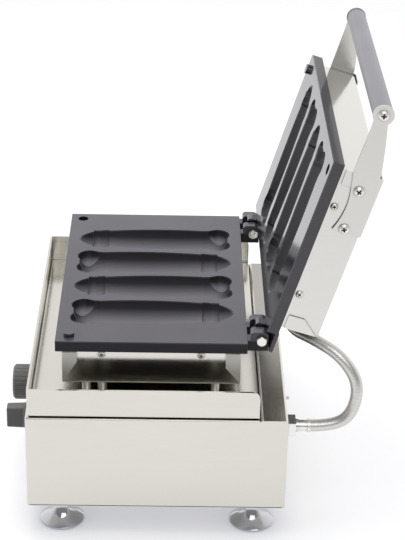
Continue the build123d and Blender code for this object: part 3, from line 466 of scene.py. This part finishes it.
def coatedMaterial(name, values):
    material, tree, shader = newMaterial(name)
    shader.inputs["Metallic"].default_value = values.get("metallic", 0.0)
    shader.inputs["Specular IOR Level"].default_value = values.get("specular", 0.5)
    shader.inputs["Specular Tint"].default_value = (*values.get("tint", (1.0, 1.0, 1.0)), 1)
    shader.inputs["Coat Weight"].default_value = values.get("coat", 0.0)
    shader.inputs["Coat Roughness"].default_value = values.get("coatRoughness", 0.1)
    shader.inputs["Sheen Weight"].default_value = values.get("sheen", 0.0)
    shader.inputs["Sheen Roughness"].default_value = values.get("sheenRoughness", 0.5)
    shader.inputs["Sheen Tint"].default_value = (*values.get("tint", (1.0, 1.0, 1.0)), 1)
    group = groupNode(tree, speckleGroup, {"Fineness": values["fineness"]})
    color = mixColor(tree, mapRange(tree, group.outputs["Cloud"], 0.0, 1.0), values["dark"], values["light"])
    if "wear" in values:
        edge = groupNode(tree, wearGroup, {"Amount": values["wear"]})
        color = mixColor(tree, edge.outputs["Mask"], color, values["wearColor"])
    if "seam" in values:
        reach = values.get("reach", creviceSet["reach"])
        color = shadeSeams(tree, color, values["seam"], values["paintedShade"], reach)
    tree.links.new(color, shader.inputs["Base Color"])
    tree.links.new(mapRange(tree, group.outputs["Dots"], *values["rough"]), shader.inputs["Roughness"])
    addBump(tree, shader, group.outputs["Dots"], values["bump"], bumpDepth["cast"])
    return material


# the sheet's seams and folds are darkened as painted shade, by the seam amount and the shade colour
rolledSheet = {"fineness": 1400.0, "length": 12.0, "bump": 0.012, "seam": 0.9, "paintedShade": (0.10, 0.09, 0.08)}
sheetSteel = brushedMaterial("brushedSheetSteel", {
    **rolledSheet, "light": (0.68, 0.66, 0.61), "dark": (0.65, 0.63, 0.58), "rough": (0.13, 0.20),
})
casingSteel = brushedMaterial("casingSheetSteel", {
    **rolledSheet, "light": (0.67, 0.66, 0.625), "dark": (0.645, 0.635, 0.60), "rough": (0.11, 0.17),
    "bump": 0.01,
})
# copies of the sheet steel for the deck and the hose block, whose level faces are painted darker as shade and
# reflection
deckSteel = brushedMaterial("deckSheetSteel", {
    **rolledSheet, "light": (0.68, 0.66, 0.61), "dark": (0.65, 0.63, 0.58), "rough": (0.15, 0.24),
    "paintedLevelShade": (0.42, 0.405, 0.38),
})
blockSteel = brushedMaterial("hoseBlockSteel", {
    **rolledSheet, "light": (0.80, 0.80, 0.78), "dark": (0.76, 0.76, 0.74), "rough": (0.15, 0.24),
    "paintedLevelShade": (0.25, 0.245, 0.24),
})
armSteel = brushedMaterial("armSheetSteel", {
    **rolledSheet, "light": (0.655, 0.645, 0.61), "dark": (0.63, 0.62, 0.585), "rough": (0.18, 0.26),
    "fineness": 1500.0, "length": 14.0, "bump": 0.01, "seam": 0.6,
})
screwSteel = coatedMaterial("zincScrewSteel", {
    "light": (0.86, 0.85, 0.80), "dark": (0.78, 0.77, 0.72), "rough": (0.30, 0.42),
    "fineness": 3000.0, "bump": 0.04, "metallic": 1.0,
})
# painted shade in the screws' cross recesses
recessPaintedShade = coatedMaterial("screwRecess", {
    "light": (0.10, 0.095, 0.085), "dark": (0.05, 0.05, 0.045), "rough": (0.4, 0.6),
    "fineness": 3000.0, "bump": 0.04, "metallic": 1.0,
})
chromeFinish = coatedMaterial("footChrome", {
    "light": (0.55, 0.55, 0.58), "dark": (0.50, 0.50, 0.53), "rough": (0.07, 0.12),
    "fineness": 500.0, "bump": 0.01, "metallic": 1.0,
})
plateSet = {
    "light": (0.044, 0.042, 0.049), "dark": (0.036, 0.034, 0.040), "rough": (0.10, 0.17),
    "tint": (0.95, 0.92, 1.0), "sheen": 0.10, "sheenRoughness": 0.35, "fineness": 2600.0, "bump": 0.04,
    "wear": 0.30, "wearColor": (0.06, 0.06, 0.07), "seam": 0.9, "paintedShade": (0.003, 0.003, 0.004), "reach": 0.012,
    "cavityColor": (0.082, 0.079, 0.088), "wallPaintedShade": (0.002, 0.002, 0.0025), "cavityRough": 0.62,
    "faceGap": 0.2 * mm, "rimDepth": 0.4 * mm,
}
lidPlateSet = {
    **plateSet, "light": (0.010, 0.0095, 0.011), "dark": (0.008, 0.0075, 0.009), "specular": 1.0,
    "sheen": 0.0, "coat": 0.45, "coatRoughness": 0.09, "cavityColor": (0.012, 0.0115, 0.013),
}


def plateMaterial(name, inward, values):  # satin on the face, rougher in the cavities, with painted shade on their walls and floors
    material = coatedMaterial(name, values)
    tree = material.node_tree
    shader = tree.nodes["Principled BSDF"]
    level = hingePos.dot(inward) + values["faceGap"] + values["rimDepth"]
    depth = groupNode(tree, depthGroup, {"Inward": inward, "Level": level})
    faceColor, faceRough = (shader.inputs[key].links[0].from_socket for key in ("Base Color", "Roughness"))
    # painted shade: the occlusion reaches far into the cavities, and their steep walls are painted nearly
    # black
    floor = shadeSeams(tree, values["cavityColor"], values["seam"], values["paintedShade"], values["reach"])
    inside = mixColor(tree, depth.outputs["Wall"], floor, values["wallPaintedShade"])
    tree.links.new(mixColor(tree, depth.outputs["Mask"], faceColor, inside), shader.inputs["Base Color"])
    rough = addNode(
        tree, "ShaderNodeMix", values={"B": values["cavityRough"]},
        links={"Factor": depth.outputs["Mask"], "A": faceRough},
    )
    tree.links.new(rough.outputs["Result"], shader.inputs["Roughness"])
    return material


lowerCoat = plateMaterial("lowerPlateCoat", Vector((0, 0, -1)), plateSet)
upperCoat = plateMaterial("upperPlateCoat", behindLid, lidPlateSet)
knobPlastic = coatedMaterial("knobPlastic", {
    "light": (0.090, 0.088, 0.087), "dark": (0.072, 0.070, 0.069), "rough": (0.46, 0.6),
    "fineness": 2200.0, "bump": 0.06,
})
gripPlastic = coatedMaterial("gripPlastic", {
    "light": (0.105, 0.102, 0.116), "dark": (0.092, 0.089, 0.102), "rough": (0.26, 0.36),
    "fineness": 1800.0, "bump": 0.04,
})
heaterSteel = coatedMaterial("heaterSheath", {
    "light": (0.22, 0.20, 0.18), "dark": (0.12, 0.11, 0.10), "rough": (0.4, 0.6),
    "fineness": 900.0, "bump": 0.1, "metallic": 1.0,
})
feltWhite = coatedMaterial("mineralFelt", {
    "light": (0.75, 0.73, 0.66), "dark": (0.60, 0.58, 0.50), "rough": (0.8, 0.95),
    "fineness": 500.0, "bump": 0.5,
})
sleeveRed = coatedMaterial("siliconeSleeve", {
    "light": (0.30, 0.09, 0.05), "dark": (0.20, 0.06, 0.04), "rough": (0.5, 0.65),
    "fineness": 900.0, "bump": 0.1,
})
lampRed = coatedMaterial("lampLens", {
    "light": (0.50, 0.03, 0.02), "dark": (0.35, 0.02, 0.015), "rough": (0.08, 0.16),
    "fineness": 300.0, "bump": 0.02,
})
print("materials built")

# Finish of each carried-over node.
nodeFinish = {
    sheetSteel: ["base_shell", "base_bottom_plate", "base_top_plate", "drip_tray"],
    deckSteel: ["rear_panel"],
    blockSteel: ["hose_block"],
    casingSteel: ["lower_casing", "upper_casing", "lower_heater_clamp", "upper_heater_clamp"],
    armSteel: ["handle_arm_left", "handle_arm_right"],
    lowerCoat: ["lower_plate"],
    upperCoat: ["upper_plate"],
    chromeFinish: ["foot_front_left", "foot_front_right", "foot_rear_left", "foot_rear_right"],
    knobPlastic: [
        "temperature_knob", "timer_knob", "thermostat", "timer", "terminal_block", "cord_gland",
        "handle_ring_left", "handle_ring_right",
    ],
    gripPlastic: ["handle_grip"],
    heaterSteel: ["lower_heater", "upper_heater"],
    feltWhite: ["lower_insulation", "upper_insulation"],
    sleeveRed: ["wiring_sleeve"],
    lampRed: ["pilot_lamp_1", "pilot_lamp_2"],
}


def dressNodes():
    finished = {name: finish for finish, names in nodeFinish.items() for name in names}
    for name, node in nodes.items():
        material = finished.get(name, screwSteel)
        node.data.materials.clear()
        node.data.materials.append(material)


dressNodes()
print("nodes dressed")


# Helpers that add rings of points and the faces between them.
def circleRing(work, radius, height, around):
    ring = []
    for j in range(around):
        angle = 2 * math.pi * j / around
        ring.append(work.verts.new((radius * math.cos(angle), radius * math.sin(angle), height)))
    return ring


def bridgeRings(work, pairs):
    for a, b in pairs:
        for j in range(len(a)):
            after = (j + 1) % len(a)
            work.faces.new((a[j], a[after], b[after], b[j]))


# The braided hose, on the route of its solid.
hoseSet = {
    "radius": 6.6 * mm,
    "around": 128,
    "step": 0.62 * mm,
    "resolution": 40,
    "braidDepth": 0.16 * mm,
    "strands": 16,
    "pitch": 34.0 * mm,
    "underHeight": 0.45,  # how high a strand stands where it passes under another
    "exitRun": 23.0,  # straight out of the ferrule, in millimetres
    "bend": (  # x, how far behind the ferrule, and z, in millimetres
        (165.0, 44.0, 141.0),
        (161.0, 50.5, 177.0),
        (152.0, 31.5, 205.0),
        (137.0, 3.5, 217.0),
    ),
    "lastX": 108.0,
    "gland": (81.0, 1.5, 33.4),  # on the open lid
    "wireDark": (0.64, 0.63, 0.60),
    "wireLight": (0.76, 0.75, 0.72),
    # the valleys between the strands are painted darker as shade
    "valley": (0.47, 0.46, 0.44),
    "raisedSpan": (0.05, 0.6),  # the heights between which valley turns to wire
    "valleyRough": 0.45,
    "wireRough": 0.24,
    "fineness": 2600.0,
}


def hoseRoute():
    low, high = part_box("hose_ferrule")
    gland = lidPoint(*hoseSet["gland"])
    x = (low.x + high.x) / 2
    y = high.y
    z = (low.z + high.z) / 2
    return [
        Vector((x, y, z)),
        Vector((x, y + hoseSet["exitRun"] * mm, z)),
        *[Vector((px * mm, y + behind * mm, pz * mm)) for px, behind, pz in hoseSet["bend"]],
        Vector((hoseSet["lastX"] * mm, gland.y, gland.z)),
        gland,
    ]


def splineLine(points, resolution):  # points along the NURBS curve that has these control points
    curve = bpy.data.curves.new("routeCurve", "CURVE")
    curve.dimensions = "3D"
    curve.resolution_u = resolution
    spline = curve.splines.new("NURBS")
    spline.points.add(len(points) - 1)
    for target, point in zip(spline.points, points):
        target.co = (*point, 1.0)
    spline.order_u = 3
    spline.use_endpoint_u = True
    holder = bpy.data.objects.new("routeHolder", curve)
    scene.collection.objects.link(holder)
    bpy.context.view_layer.update()
    mesh = bpy.data.meshes.new_from_object(holder)
    line = [v.co.copy() for v in mesh.vertices]
    bpy.data.objects.remove(holder)
    bpy.data.meshes.remove(mesh)
    return line


def evenLine(line, step):  # the same line with points a step apart
    lengths = [0.0]
    for a, b in zip(line, line[1:]):
        lengths.append(lengths[-1] + (b - a).length)
    count = max(2, round(lengths[-1] / step))
    result = []
    index = 0
    for k in range(count + 1):
        target = lengths[-1] * k / count
        while index < len(line) - 2 and lengths[index + 1] < target:
            index += 1
        span = max(lengths[index + 1] - lengths[index], 1e-9)
        result.append(line[index].lerp(line[index + 1], (target - lengths[index]) / span))
    return result, lengths[-1]


def frames(line):  # a turning-free pair of side directions at each point
    tangents = []
    for k in range(len(line)):
        tangents.append((line[min(k + 1, len(line) - 1)] - line[max(k - 1, 0)]).normalized())
    side = tangents[0].orthogonal().normalized()
    result = []
    for tangent in tangents:
        side = (side - tangent * side.dot(tangent)).normalized()
        result.append((side, tangent.cross(side)))
    return result


def makeHose():
    line, length = evenLine(splineLine(hoseRoute(), hoseSet["resolution"]), hoseSet["step"])
    around = hoseSet["around"]
    work = bmesh.new()
    heights = []
    rings = []
    for k, (point, (side, other)) in enumerate(zip(line, frames(line))):
        along = length * k / (len(line) - 1)
        turns = 2 * math.pi * along / hoseSet["pitch"]
        ring = []
        for j in range(around):
            angle = 2 * math.pi * j / around
            first = math.sin(hoseSet["strands"] * (angle + turns))
            second = math.sin(hoseSet["strands"] * (angle - turns))
            top = max(abs(first), abs(second))
            height = top ** 2 if first * second > 0 else hoseSet["underHeight"] * top
            radius = hoseSet["radius"] - hoseSet["braidDepth"] * (1 - height)
            heights.append(height)
            ring.append(work.verts.new(point + (side * math.cos(angle) + other * math.sin(angle)) * radius))
        rings.append(ring)
    bridgeRings(work, zip(rings, rings[1:]))
    work.faces.new(list(reversed(rings[0])))
    work.faces.new(rings[-1])
    bmesh.ops.recalc_face_normals(work, faces=work.faces)
    mesh = bpy.data.meshes.new("braidedHose")
    work.to_mesh(mesh)
    work.free()
    mesh.attributes.new("braidHeight", "FLOAT", "POINT").data.foreach_set("value", heights)
    for polygon in mesh.polygons:
        polygon.use_smooth = True
    mesh.materials.append(hoseBraid)
    piece = bpy.data.objects.new("braidedHose", mesh)
    scene.collection.objects.link(piece)
    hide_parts("hose")
    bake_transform(piece)
    print("hose made, length in millimetres", round(length / mm))


def braidMaterial():
    material, tree, shader = newMaterial("steelBraid")
    shader.inputs["Metallic"].default_value = 1.0
    height = addNode(tree, "ShaderNodeAttribute", {"attribute_name": "braidHeight"}).outputs["Fac"]
    group = groupNode(tree, speckleGroup, {"Fineness": hoseSet["fineness"]})
    shine = mapRange(tree, group.outputs["Dots"], 0.0, 1.0)
    wires = mixColor(tree, shine, hoseSet["wireDark"], hoseSet["wireLight"])
    raised = mapRange(tree, height, 0.0, 1.0, *hoseSet["raisedSpan"])
    # painted shade in the valleys between the strands
    tree.links.new(mixColor(tree, raised, hoseSet["valley"], wires), shader.inputs["Base Color"])
    rough = mapRange(tree, height, hoseSet["valleyRough"], hoseSet["wireRough"], 0.0, 1.0)
    tree.links.new(rough, shader.inputs["Roughness"])
    return material


hoseBraid = braidMaterial()
makeHose()


# Screws, bolts and nuts: each form is made once and Geometry Nodes sets it on its places.
screwSet = {
    "rise": 0.62,  # of the head's radius
    "crown": 1.3,
    "recessReach": 0.44,
    "recessHalfWidth": 0.12,
    "recessDepth": 0.38,
    "recessTaper": 0.45,  # how much shallower the cross is at its ends
    "shankTop": 0.05 * mm,
    "cells": 24,
}


def finishForm(work, name, smooth=False):
    bmesh.ops.recalc_face_normals(work, faces=work.faces)
    mesh = bpy.data.meshes.new(name)
    work.to_mesh(mesh)
    work.free()
    for polygon in mesh.polygons:
        polygon.use_smooth = smooth and len(polygon.vertices) < 5
    return bpy.data.objects.new(name, mesh)


def addLathe(work, profile, around=24):  # a closed turned shape about Z from (radius, height) pairs
    rings = [circleRing(work, radius, height, around) for radius, height in profile]
    bridgeRings(work, zip(rings, rings[1:]))
    work.faces.new(rings[0])
    work.faces.new(rings[-1])


def threadProfile(radius, low, high, pitch=0.8 * mm, depth=0.25 * mm):
    profile = [(radius - depth, low)]
    count = max(1, int((high - low) / pitch))
    for k in range(count):
        height = low + (high - low) * (k + 0.5) / count
        profile.append((radius, height))
        profile.append((radius - depth, low + (high - low) * (k + 1) / count))
    return profile


def panScrewForm(name, head, shank, length):
    head, shank, length = head * mm, shank * mm, length * mm
    cells = screwSet["cells"]
    crown = head * screwSet["crown"]
    reach = head * screwSet["recessReach"]
    half = head * screwSet["recessHalfWidth"]
    work = bmesh.new()
    grid = []
    sunk = set()
    for i in range(cells + 1):
        row = []
        for j in range(cells + 1):
            u, v = 2 * i / cells - 1, 2 * j / cells - 1
            x = head * u * math.sqrt(1 - v * v / 2)
            y = head * v * math.sqrt(1 - u * u / 2)
            z = head * screwSet["rise"] - crown + math.sqrt(crown * crown - x * x - y * y)
            across, along = sorted((abs(x), abs(y)))
            inRecess = across < half and along < reach
            if inRecess:
                z -= head * screwSet["recessDepth"] * (1 - screwSet["recessTaper"] * along / reach)
            vert = work.verts.new((x, y, z))
            if inRecess:
                sunk.add(vert)
            row.append(vert)
        grid.append(row)
    for i in range(cells):
        for j in range(cells):
            work.faces.new((grid[i][j], grid[i + 1][j], grid[i + 1][j + 1], grid[i][j + 1]))
    rim = [grid[i][0] for i in range(cells)] + [grid[cells][j] for j in range(cells)]
    rim += [grid[i][cells] for i in range(cells, 0, -1)] + [grid[0][j] for j in range(cells, 0, -1)]
    seat = [work.verts.new((v.co.x, v.co.y, 0)) for v in rim]
    for k in range(len(rim)):
        after = (k + 1) % len(rim)
        work.faces.new((rim[k], seat[k], seat[after], rim[after]))
    work.faces.new(seat)
    recessFaces = [any(v in sunk for v in f.verts) for f in work.faces]
    addLathe(work, [(shank, screwSet["shankTop"]), *threadProfile(shank, -length, 0)[::-1]])
    recessFaces += [False] * (len(work.faces) - len(recessFaces))
    form = finishForm(work, name, smooth=True)
    form.data.attributes.new("recess", "BOOLEAN", "FACE").data.foreach_set("value", recessFaces)
    return form


hexSet = {
    "around": 48,
    "chamfer": 0.6,  # the drop of a corner, of how far it stands past the flats
    "crown": 0.95,  # the radius of the round top, of half the width across flats
    "topEdge": 0.1 * mm,
    "threadShare": 0.35,  # of the shank, from its tip
    "plainFrom": 0.36,  # where the plain part of the shank begins
    "tipRadius": 0.75,  # of the shank's
    "tipLength": 0.3 * mm,
}


def hexRing(work, flats, height, chamfer, crown):  # a hexagon's outline, or its round top where crown isn't 0
    ring = []
    for j in range(hexSet["around"]):
        angle = 2 * math.pi * j / hexSet["around"]
        folded = (angle % (math.pi / 3)) - math.pi / 6
        full = flats / 2 / math.cos(folded)
        radius = min(full, flats / 2 * crown) if crown else full
        lift = (full - flats / 2) * chamfer
        ring.append(work.verts.new((radius * math.cos(angle), radius * math.sin(angle), height - lift)))
    return ring


def hexForm(name, flats, height, shank, low, high, hole=0.0):  # a bolt, or a nut where it has a hole
    flats, height, shank, low, high = (v * mm for v in (flats, height, shank, low, high))
    chamfer, crown = hexSet["chamfer"], hexSet["crown"]
    work = bmesh.new()
    rings = [
        hexRing(work, flats, 0.0, -chamfer if hole else 0.0, 0.0),
        hexRing(work, flats, height - hexSet["topEdge"], chamfer, 0.0),
        hexRing(work, flats, height, 0.0, crown),
    ]
    if hole:
        rings.insert(0, hexRing(work, flats, 0.0, 0.0, crown))
    bridgeRings(work, zip(rings, rings[1:]))
    if hole:
        inner = [circleRing(work, hole * mm, level, hexSet["around"]) for level in (0.0, height)]
        bridgeRings(work, ((rings[0], inner[0]), (inner[0], inner[1]), (inner[1], rings[-1])))
    else:
        work.faces.new(rings[0])
        work.faces.new(rings[-1])
        profile = threadProfile(shank, low, low + (high - low) * hexSet["threadShare"])
        profile += [(shank, low + (high - low) * hexSet["plainFrom"]), (shank, high)]
        addLathe(work, [(shank * hexSet["tipRadius"], low - hexSet["tipLength"]), *profile])
    return finishForm(work, name)


def makeFastenerTree():
    tree = bpy.data.node_groups.new("fastenerPlaces", "GeometryNodeTree")
    for label, kind in (
        ("Geometry", "NodeSocketGeometry"), ("Form", "NodeSocketObject"), ("Size", "NodeSocketFloat"),
        ("Steel", "NodeSocketMaterial"), ("Recess", "NodeSocketMaterial"),
    ):
        tree.interface.new_socket(label, in_out="INPUT", socket_type=kind)
    tree.interface.new_socket("Geometry", in_out="OUTPUT", socket_type="NodeSocketGeometry")
    source, sink = tree.nodes.new("NodeGroupInput"), tree.nodes.new("NodeGroupOutput")
    form = addNode(tree, "GeometryNodeObjectInfo", links={"Object": source.outputs["Form"]})
    turning = addNode(
        tree, "GeometryNodeInputNamedAttribute", {"data_type": "QUATERNION"}, {"Name": "turning"},
    )
    placed = addNode(tree, "GeometryNodeInstanceOnPoints", links={
        "Points": source.outputs["Geometry"], "Instance": form.outputs["Geometry"],
        "Rotation": turning.outputs["Attribute"], "Scale": source.outputs["Size"],
    })
    real = addNode(tree, "GeometryNodeRealizeInstances", links={"Geometry": placed.outputs["Instances"]})
    steel = addNode(tree, "GeometryNodeSetMaterial", links={
        "Geometry": real.outputs["Geometry"], "Material": source.outputs["Steel"],
    })
    recess = addNode(tree, "GeometryNodeInputNamedAttribute", {"data_type": "BOOLEAN"}, {"Name": "recess"})
    dark = addNode(tree, "GeometryNodeSetMaterial", links={
        "Geometry": steel.outputs["Geometry"], "Selection": recess.outputs["Attribute"],
        "Material": source.outputs["Recess"],
    })
    tree.links.new(dark.outputs["Geometry"], sink.inputs["Geometry"])
    return tree


fastenerTree = makeFastenerTree()


def facingTurn(facing, upward, degrees):  # the turn that brings Z to facing and X near upward, then spins it
    z = Vector(facing).normalized()
    x = (Vector(upward) - z * Vector(upward).dot(z)).normalized()
    basis = Matrix((x, z.cross(x), z)).transposed()
    return (basis @ Matrix.Rotation(math.radians(degrees), 3, "Z")).to_quaternion()


def setFasteners(name, form, places):  # places are (point, facing, upward, degrees)
    mesh = bpy.data.meshes.new(name)
    mesh.from_pydata([p[0] for p in places], [], [])
    turns = [value for p in places for value in facingTurn(*p[1:])]
    mesh.attributes.new("turning", "QUATERNION", "POINT").data.foreach_set("value", turns)
    holder = bpy.data.objects.new(name + "Places", mesh)
    scene.collection.objects.link(holder)
    modifier = holder.modifiers.new("fasteners", "NODES")
    modifier.node_group = fastenerTree
    sockets = fastenerTree.interface.items_tree
    inputs = {item.name: item.identifier for item in sockets if item.in_out == "INPUT"}
    modifier[inputs["Form"]] = form
    modifier[inputs["Size"]] = 1.0
    modifier[inputs["Steel"]] = screwSteel
    modifier[inputs["Recess"]] = recessPaintedShade
    depsgraph = bpy.context.evaluated_depsgraph_get()
    result = bpy.data.meshes.new_from_object(holder.evaluated_get(depsgraph), depsgraph=depsgraph)
    bpy.data.objects.remove(holder)
    return result


def joinMeshes(name, meshes):
    work = bmesh.new()
    materials = []
    for mesh in meshes:
        first = len(work.faces)
        work.from_mesh(mesh)
        work.faces.ensure_lookup_table()
        for face in work.faces[first:]:
            material = mesh.materials[face.material_index]
            if material not in materials:
                materials.append(material)
            face.material_index = materials.index(material)
    joined = bpy.data.meshes.new(name)
    work.to_mesh(joined)
    work.free()
    for material in materials:
        joined.materials.append(material)
    return joined


def addPiece(name, mesh, body, replaced):
    piece = bpy.data.objects.new(name, mesh)
    scene.collection.objects.link(piece)
    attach(piece, body)
    if replaced:
        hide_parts(*replaced)


fastenerSet = {
    "casingScrew": (4.0, 2.0, 4.5),  # head radius, shank radius, shank length
    "armScrew": (5.75, 2.5, 8.0),
    "handleScrew": (5.8, 2.5, 13.5),
    "wallScrew": (4.0, 2.0, 7.5),
    "casingScrewPlaces": (63.7, 169.5),
    "casingScrewN": 19.5,
    "casingHalf": 151.0,
    "armFace": 153.7,
    "armScrewPlaces": (150.0, 194.0),
    "armScrewN": 37.0,
    "handlePlace": (278.7, 31.5),
    "handleTurn": 14.0,
    "turns": (8.0, 33.0, -12.0, 21.0, 40.0, 5.0, 27.0, -20.0),  # how far each cross is turned, in degrees
    "wallScrewPlaces": ((-113.5, 130.5, 12.0), (-165.0, 48.0, 36.0), (165.0, 48.0, -8.0)),  # x, z and turn
    "studPlace": (113.5, 130.5),
    "studRadius": 2.0 * mm,
    "studEnds": (-7.5 * mm, 4.6 * mm),
    "studPitch": 0.7 * mm,
    "studTip": (1.4 * mm, 5.0 * mm),
}


def makeScrews():
    values = fastenerSet
    casingForm = panScrewForm("casingScrewForm", *values["casingScrew"])
    armForm = panScrewForm("armScrewForm", *values["armScrew"])
    handleForm = panScrewForm("handleScrewForm", *values["handleScrew"])
    wallForm = panScrewForm("wallScrewForm", *values["wallScrew"])
    lidMeshes = []
    baseMeshes = []
    for point, upward, target in ((lidPoint, alongLid, lidMeshes), (basePoint, (0, 0, 1), baseMeshes)):
        places = []
        for side in (-1, 1):
            for s in values["casingScrewPlaces"]:
                spot = point(side * values["casingHalf"], s, values["casingScrewN"])
                places.append((spot, (side, 0, 0), upward, values["turns"][len(places)]))
        target.append(setFasteners("casingScrews", casingForm, places))
    places = []
    for side in (-1, 1):
        for s in values["armScrewPlaces"]:
            spot = lidPoint(side * values["armFace"], s, values["armScrewN"])
            places.append((spot, (side, 0, 0), alongLid, values["turns"][4 + len(places)]))
    lidMeshes.append(setFasteners("armScrews", armForm, places))
    places = []
    for side in (-1, 1):
        spot = lidPoint(side * values["armFace"], *values["handlePlace"])
        places.append((spot, (side, 0, 0), alongLid, values["handleTurn"]))
    lidMeshes.append(setFasteners("handleScrews", handleForm, places))
    addPiece(
        "lidScrews", joinMeshes("lidScrews", lidMeshes), "lid",
        ["upper_casing_screws", "arm_screws", "handle_screw_left", "handle_screw_right"],
    )
    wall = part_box("rear_panel")[1].y
    places = [
        (Vector((x * mm, wall, z * mm)), (0, 1, 0), (0, 0, 1), turn)
        for x, z, turn in values["wallScrewPlaces"]
    ]
    baseMeshes.append(setFasteners("wallScrews", wallForm, places))
    work = bmesh.new()
    thread = threadProfile(values["studRadius"], *values["studEnds"], values["studPitch"])
    addLathe(work, [*thread, values["studTip"]])
    stud = finishForm(work, "wallStudForm")
    x, z = values["studPlace"]
    spot = Vector((x * mm, wall, z * mm))
    baseMeshes.append(setFasteners("wallStud", stud, [(spot, (0, 1, 0), (0, 0, 1), 0)]))
    addPiece(
        "baseScrews", joinMeshes("baseScrews", baseMeshes), "base",
        ["lower_casing_screws", "rear_screws"],
    )
    print("screws made")


makeScrews()

hingeSet = {
    "flats": 10.0,
    "headHeight": 4.0,
    "shank": 3.0,
    "face": 152.0,
    "end": 104.5,
    "nutFace": 106.0,
    "nutHeight": 5.0,
}


def makeHingeFixings():
    values = hingeSet
    length = values["face"] - values["end"]
    bolt = hexForm("hingeBoltForm", values["flats"], values["headHeight"], values["shank"], -length, 0.0)
    nut = hexForm("hingeNutForm", values["flats"], values["nutHeight"], 0, 0, 0, hole=values["shank"])
    bolts = []
    nuts = []
    for side in (-1, 1):
        bolts.append((hingePos + Vector((side * values["face"] * mm, 0, 0)), (side, 0, 0), (0, 0, 1), 0.0))
        nuts.append((hingePos + Vector((side * values["nutFace"] * mm, 0, 0)), (side, 0, 0), (0, 0, 1), 0.0))
    meshes = [setFasteners("hingeBolts", bolt, bolts), setFasteners("hingeNuts", nut, nuts)]
    addPiece(
        "hingeFixings", joinMeshes("hingeFixings", meshes), "base",
        ["hinge_bolt_left", "hinge_bolt_right", "hinge_nut_left", "hinge_nut_right"],
    )
    print("hinge bolts made")


makeHingeFixings()

# The faces of the lower casing's corner tabs, whose open sheet ends stand a little away and catch more light;
# their lighter colour is painted light.
tabSet = {
    "face": 152.2,
    "proud": 0.12,
    "outlines": (
        ((211.3, 17.7), (195.7, 17.7), (195.7, 28.8), (211.3, 52.4)),
        ((21.7, 17.7), (37.3, 17.7), (37.3, 34.2), (21.7, 52.4)),
    ),
}
tabPaintedLight = brushedMaterial("tabSheetSteel", {
    **rolledSheet, "light": (0.72, 0.71, 0.67), "dark": (0.69, 0.68, 0.64), "rough": (0.60, 0.68),
    "bump": 0.01, "seam": 0.3,
})


def addPrism(work, bottom, top):
    low = [work.verts.new(p) for p in bottom]
    high = [work.verts.new(p) for p in top]
    work.faces.new(low)
    work.faces.new(high)
    bridgeRings(work, [(low, high)])


def makeTabFaces():
    work = bmesh.new()
    for side in (-1, 1):
        for outline in tabSet["outlines"]:
            inner = [basePoint(side * tabSet["face"], s, n) for s, n in outline]
            outer = [basePoint(side * (tabSet["face"] + tabSet["proud"]), s, n) for s, n in outline]
            addPrism(work, inner, outer)
    form = finishForm(work, "casingTabFaces")
    form.data.materials.append(tabPaintedLight)
    addPiece("casingTabFaces", form.data, "base", [])


makeTabFaces()

# A dark strip along the folded edge under the base: painted shade in the fold.
hemSet = {"half": 187.0, "drop": 0.8, "width": 1.6, "corner": 3.0, "cornerParts": 4}
hemPaintedShade = coatedMaterial("foldedEdgePaintedShade", {
    "light": (0.16, 0.155, 0.15), "dark": (0.10, 0.10, 0.095), "rough": (0.4, 0.6),
    "fineness": 900.0, "bump": 0.03, "metallic": 1.0,
})


def makeHem():
    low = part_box("base_shell")[0]
    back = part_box("rear_panel")[1].y
    top = low.z
    parts = hemSet["cornerParts"]
    half = hemSet["half"] * mm
    width = hemSet["width"] * mm
    corner = hemSet["corner"] * mm
    work = bmesh.new()
    rings = []
    for inset in (0.0, width):
        for z in (top - hemSet["drop"] * mm, top):
            ring = []
            for cx, cy, start in (
                (half - corner, back - corner, 0), (-half + corner, back - corner, 90),
                (-half + corner, low.y + corner, 180), (half - corner, low.y + corner, 270),
            ):
                for k in range(parts + 1):
                    angle = math.radians(start + 90 / parts * k)
                    x = cx + (corner - inset) * math.cos(angle)
                    y = cy + (corner - inset) * math.sin(angle)
                    ring.append(work.verts.new((x, y, z)))
            rings.append(ring)
    outerLow, outerHigh, innerLow, innerHigh = rings
    bridgeRings(work, (
        (outerLow, outerHigh), (outerHigh, innerHigh), (innerHigh, innerLow), (innerLow, outerLow),
    ))
    form = finishForm(work, "baseHem")
    form.data.materials.append(hemPaintedShade)
    addPiece("baseHem", form.data, "base", [])


makeHem()
print("tab faces and hem made")
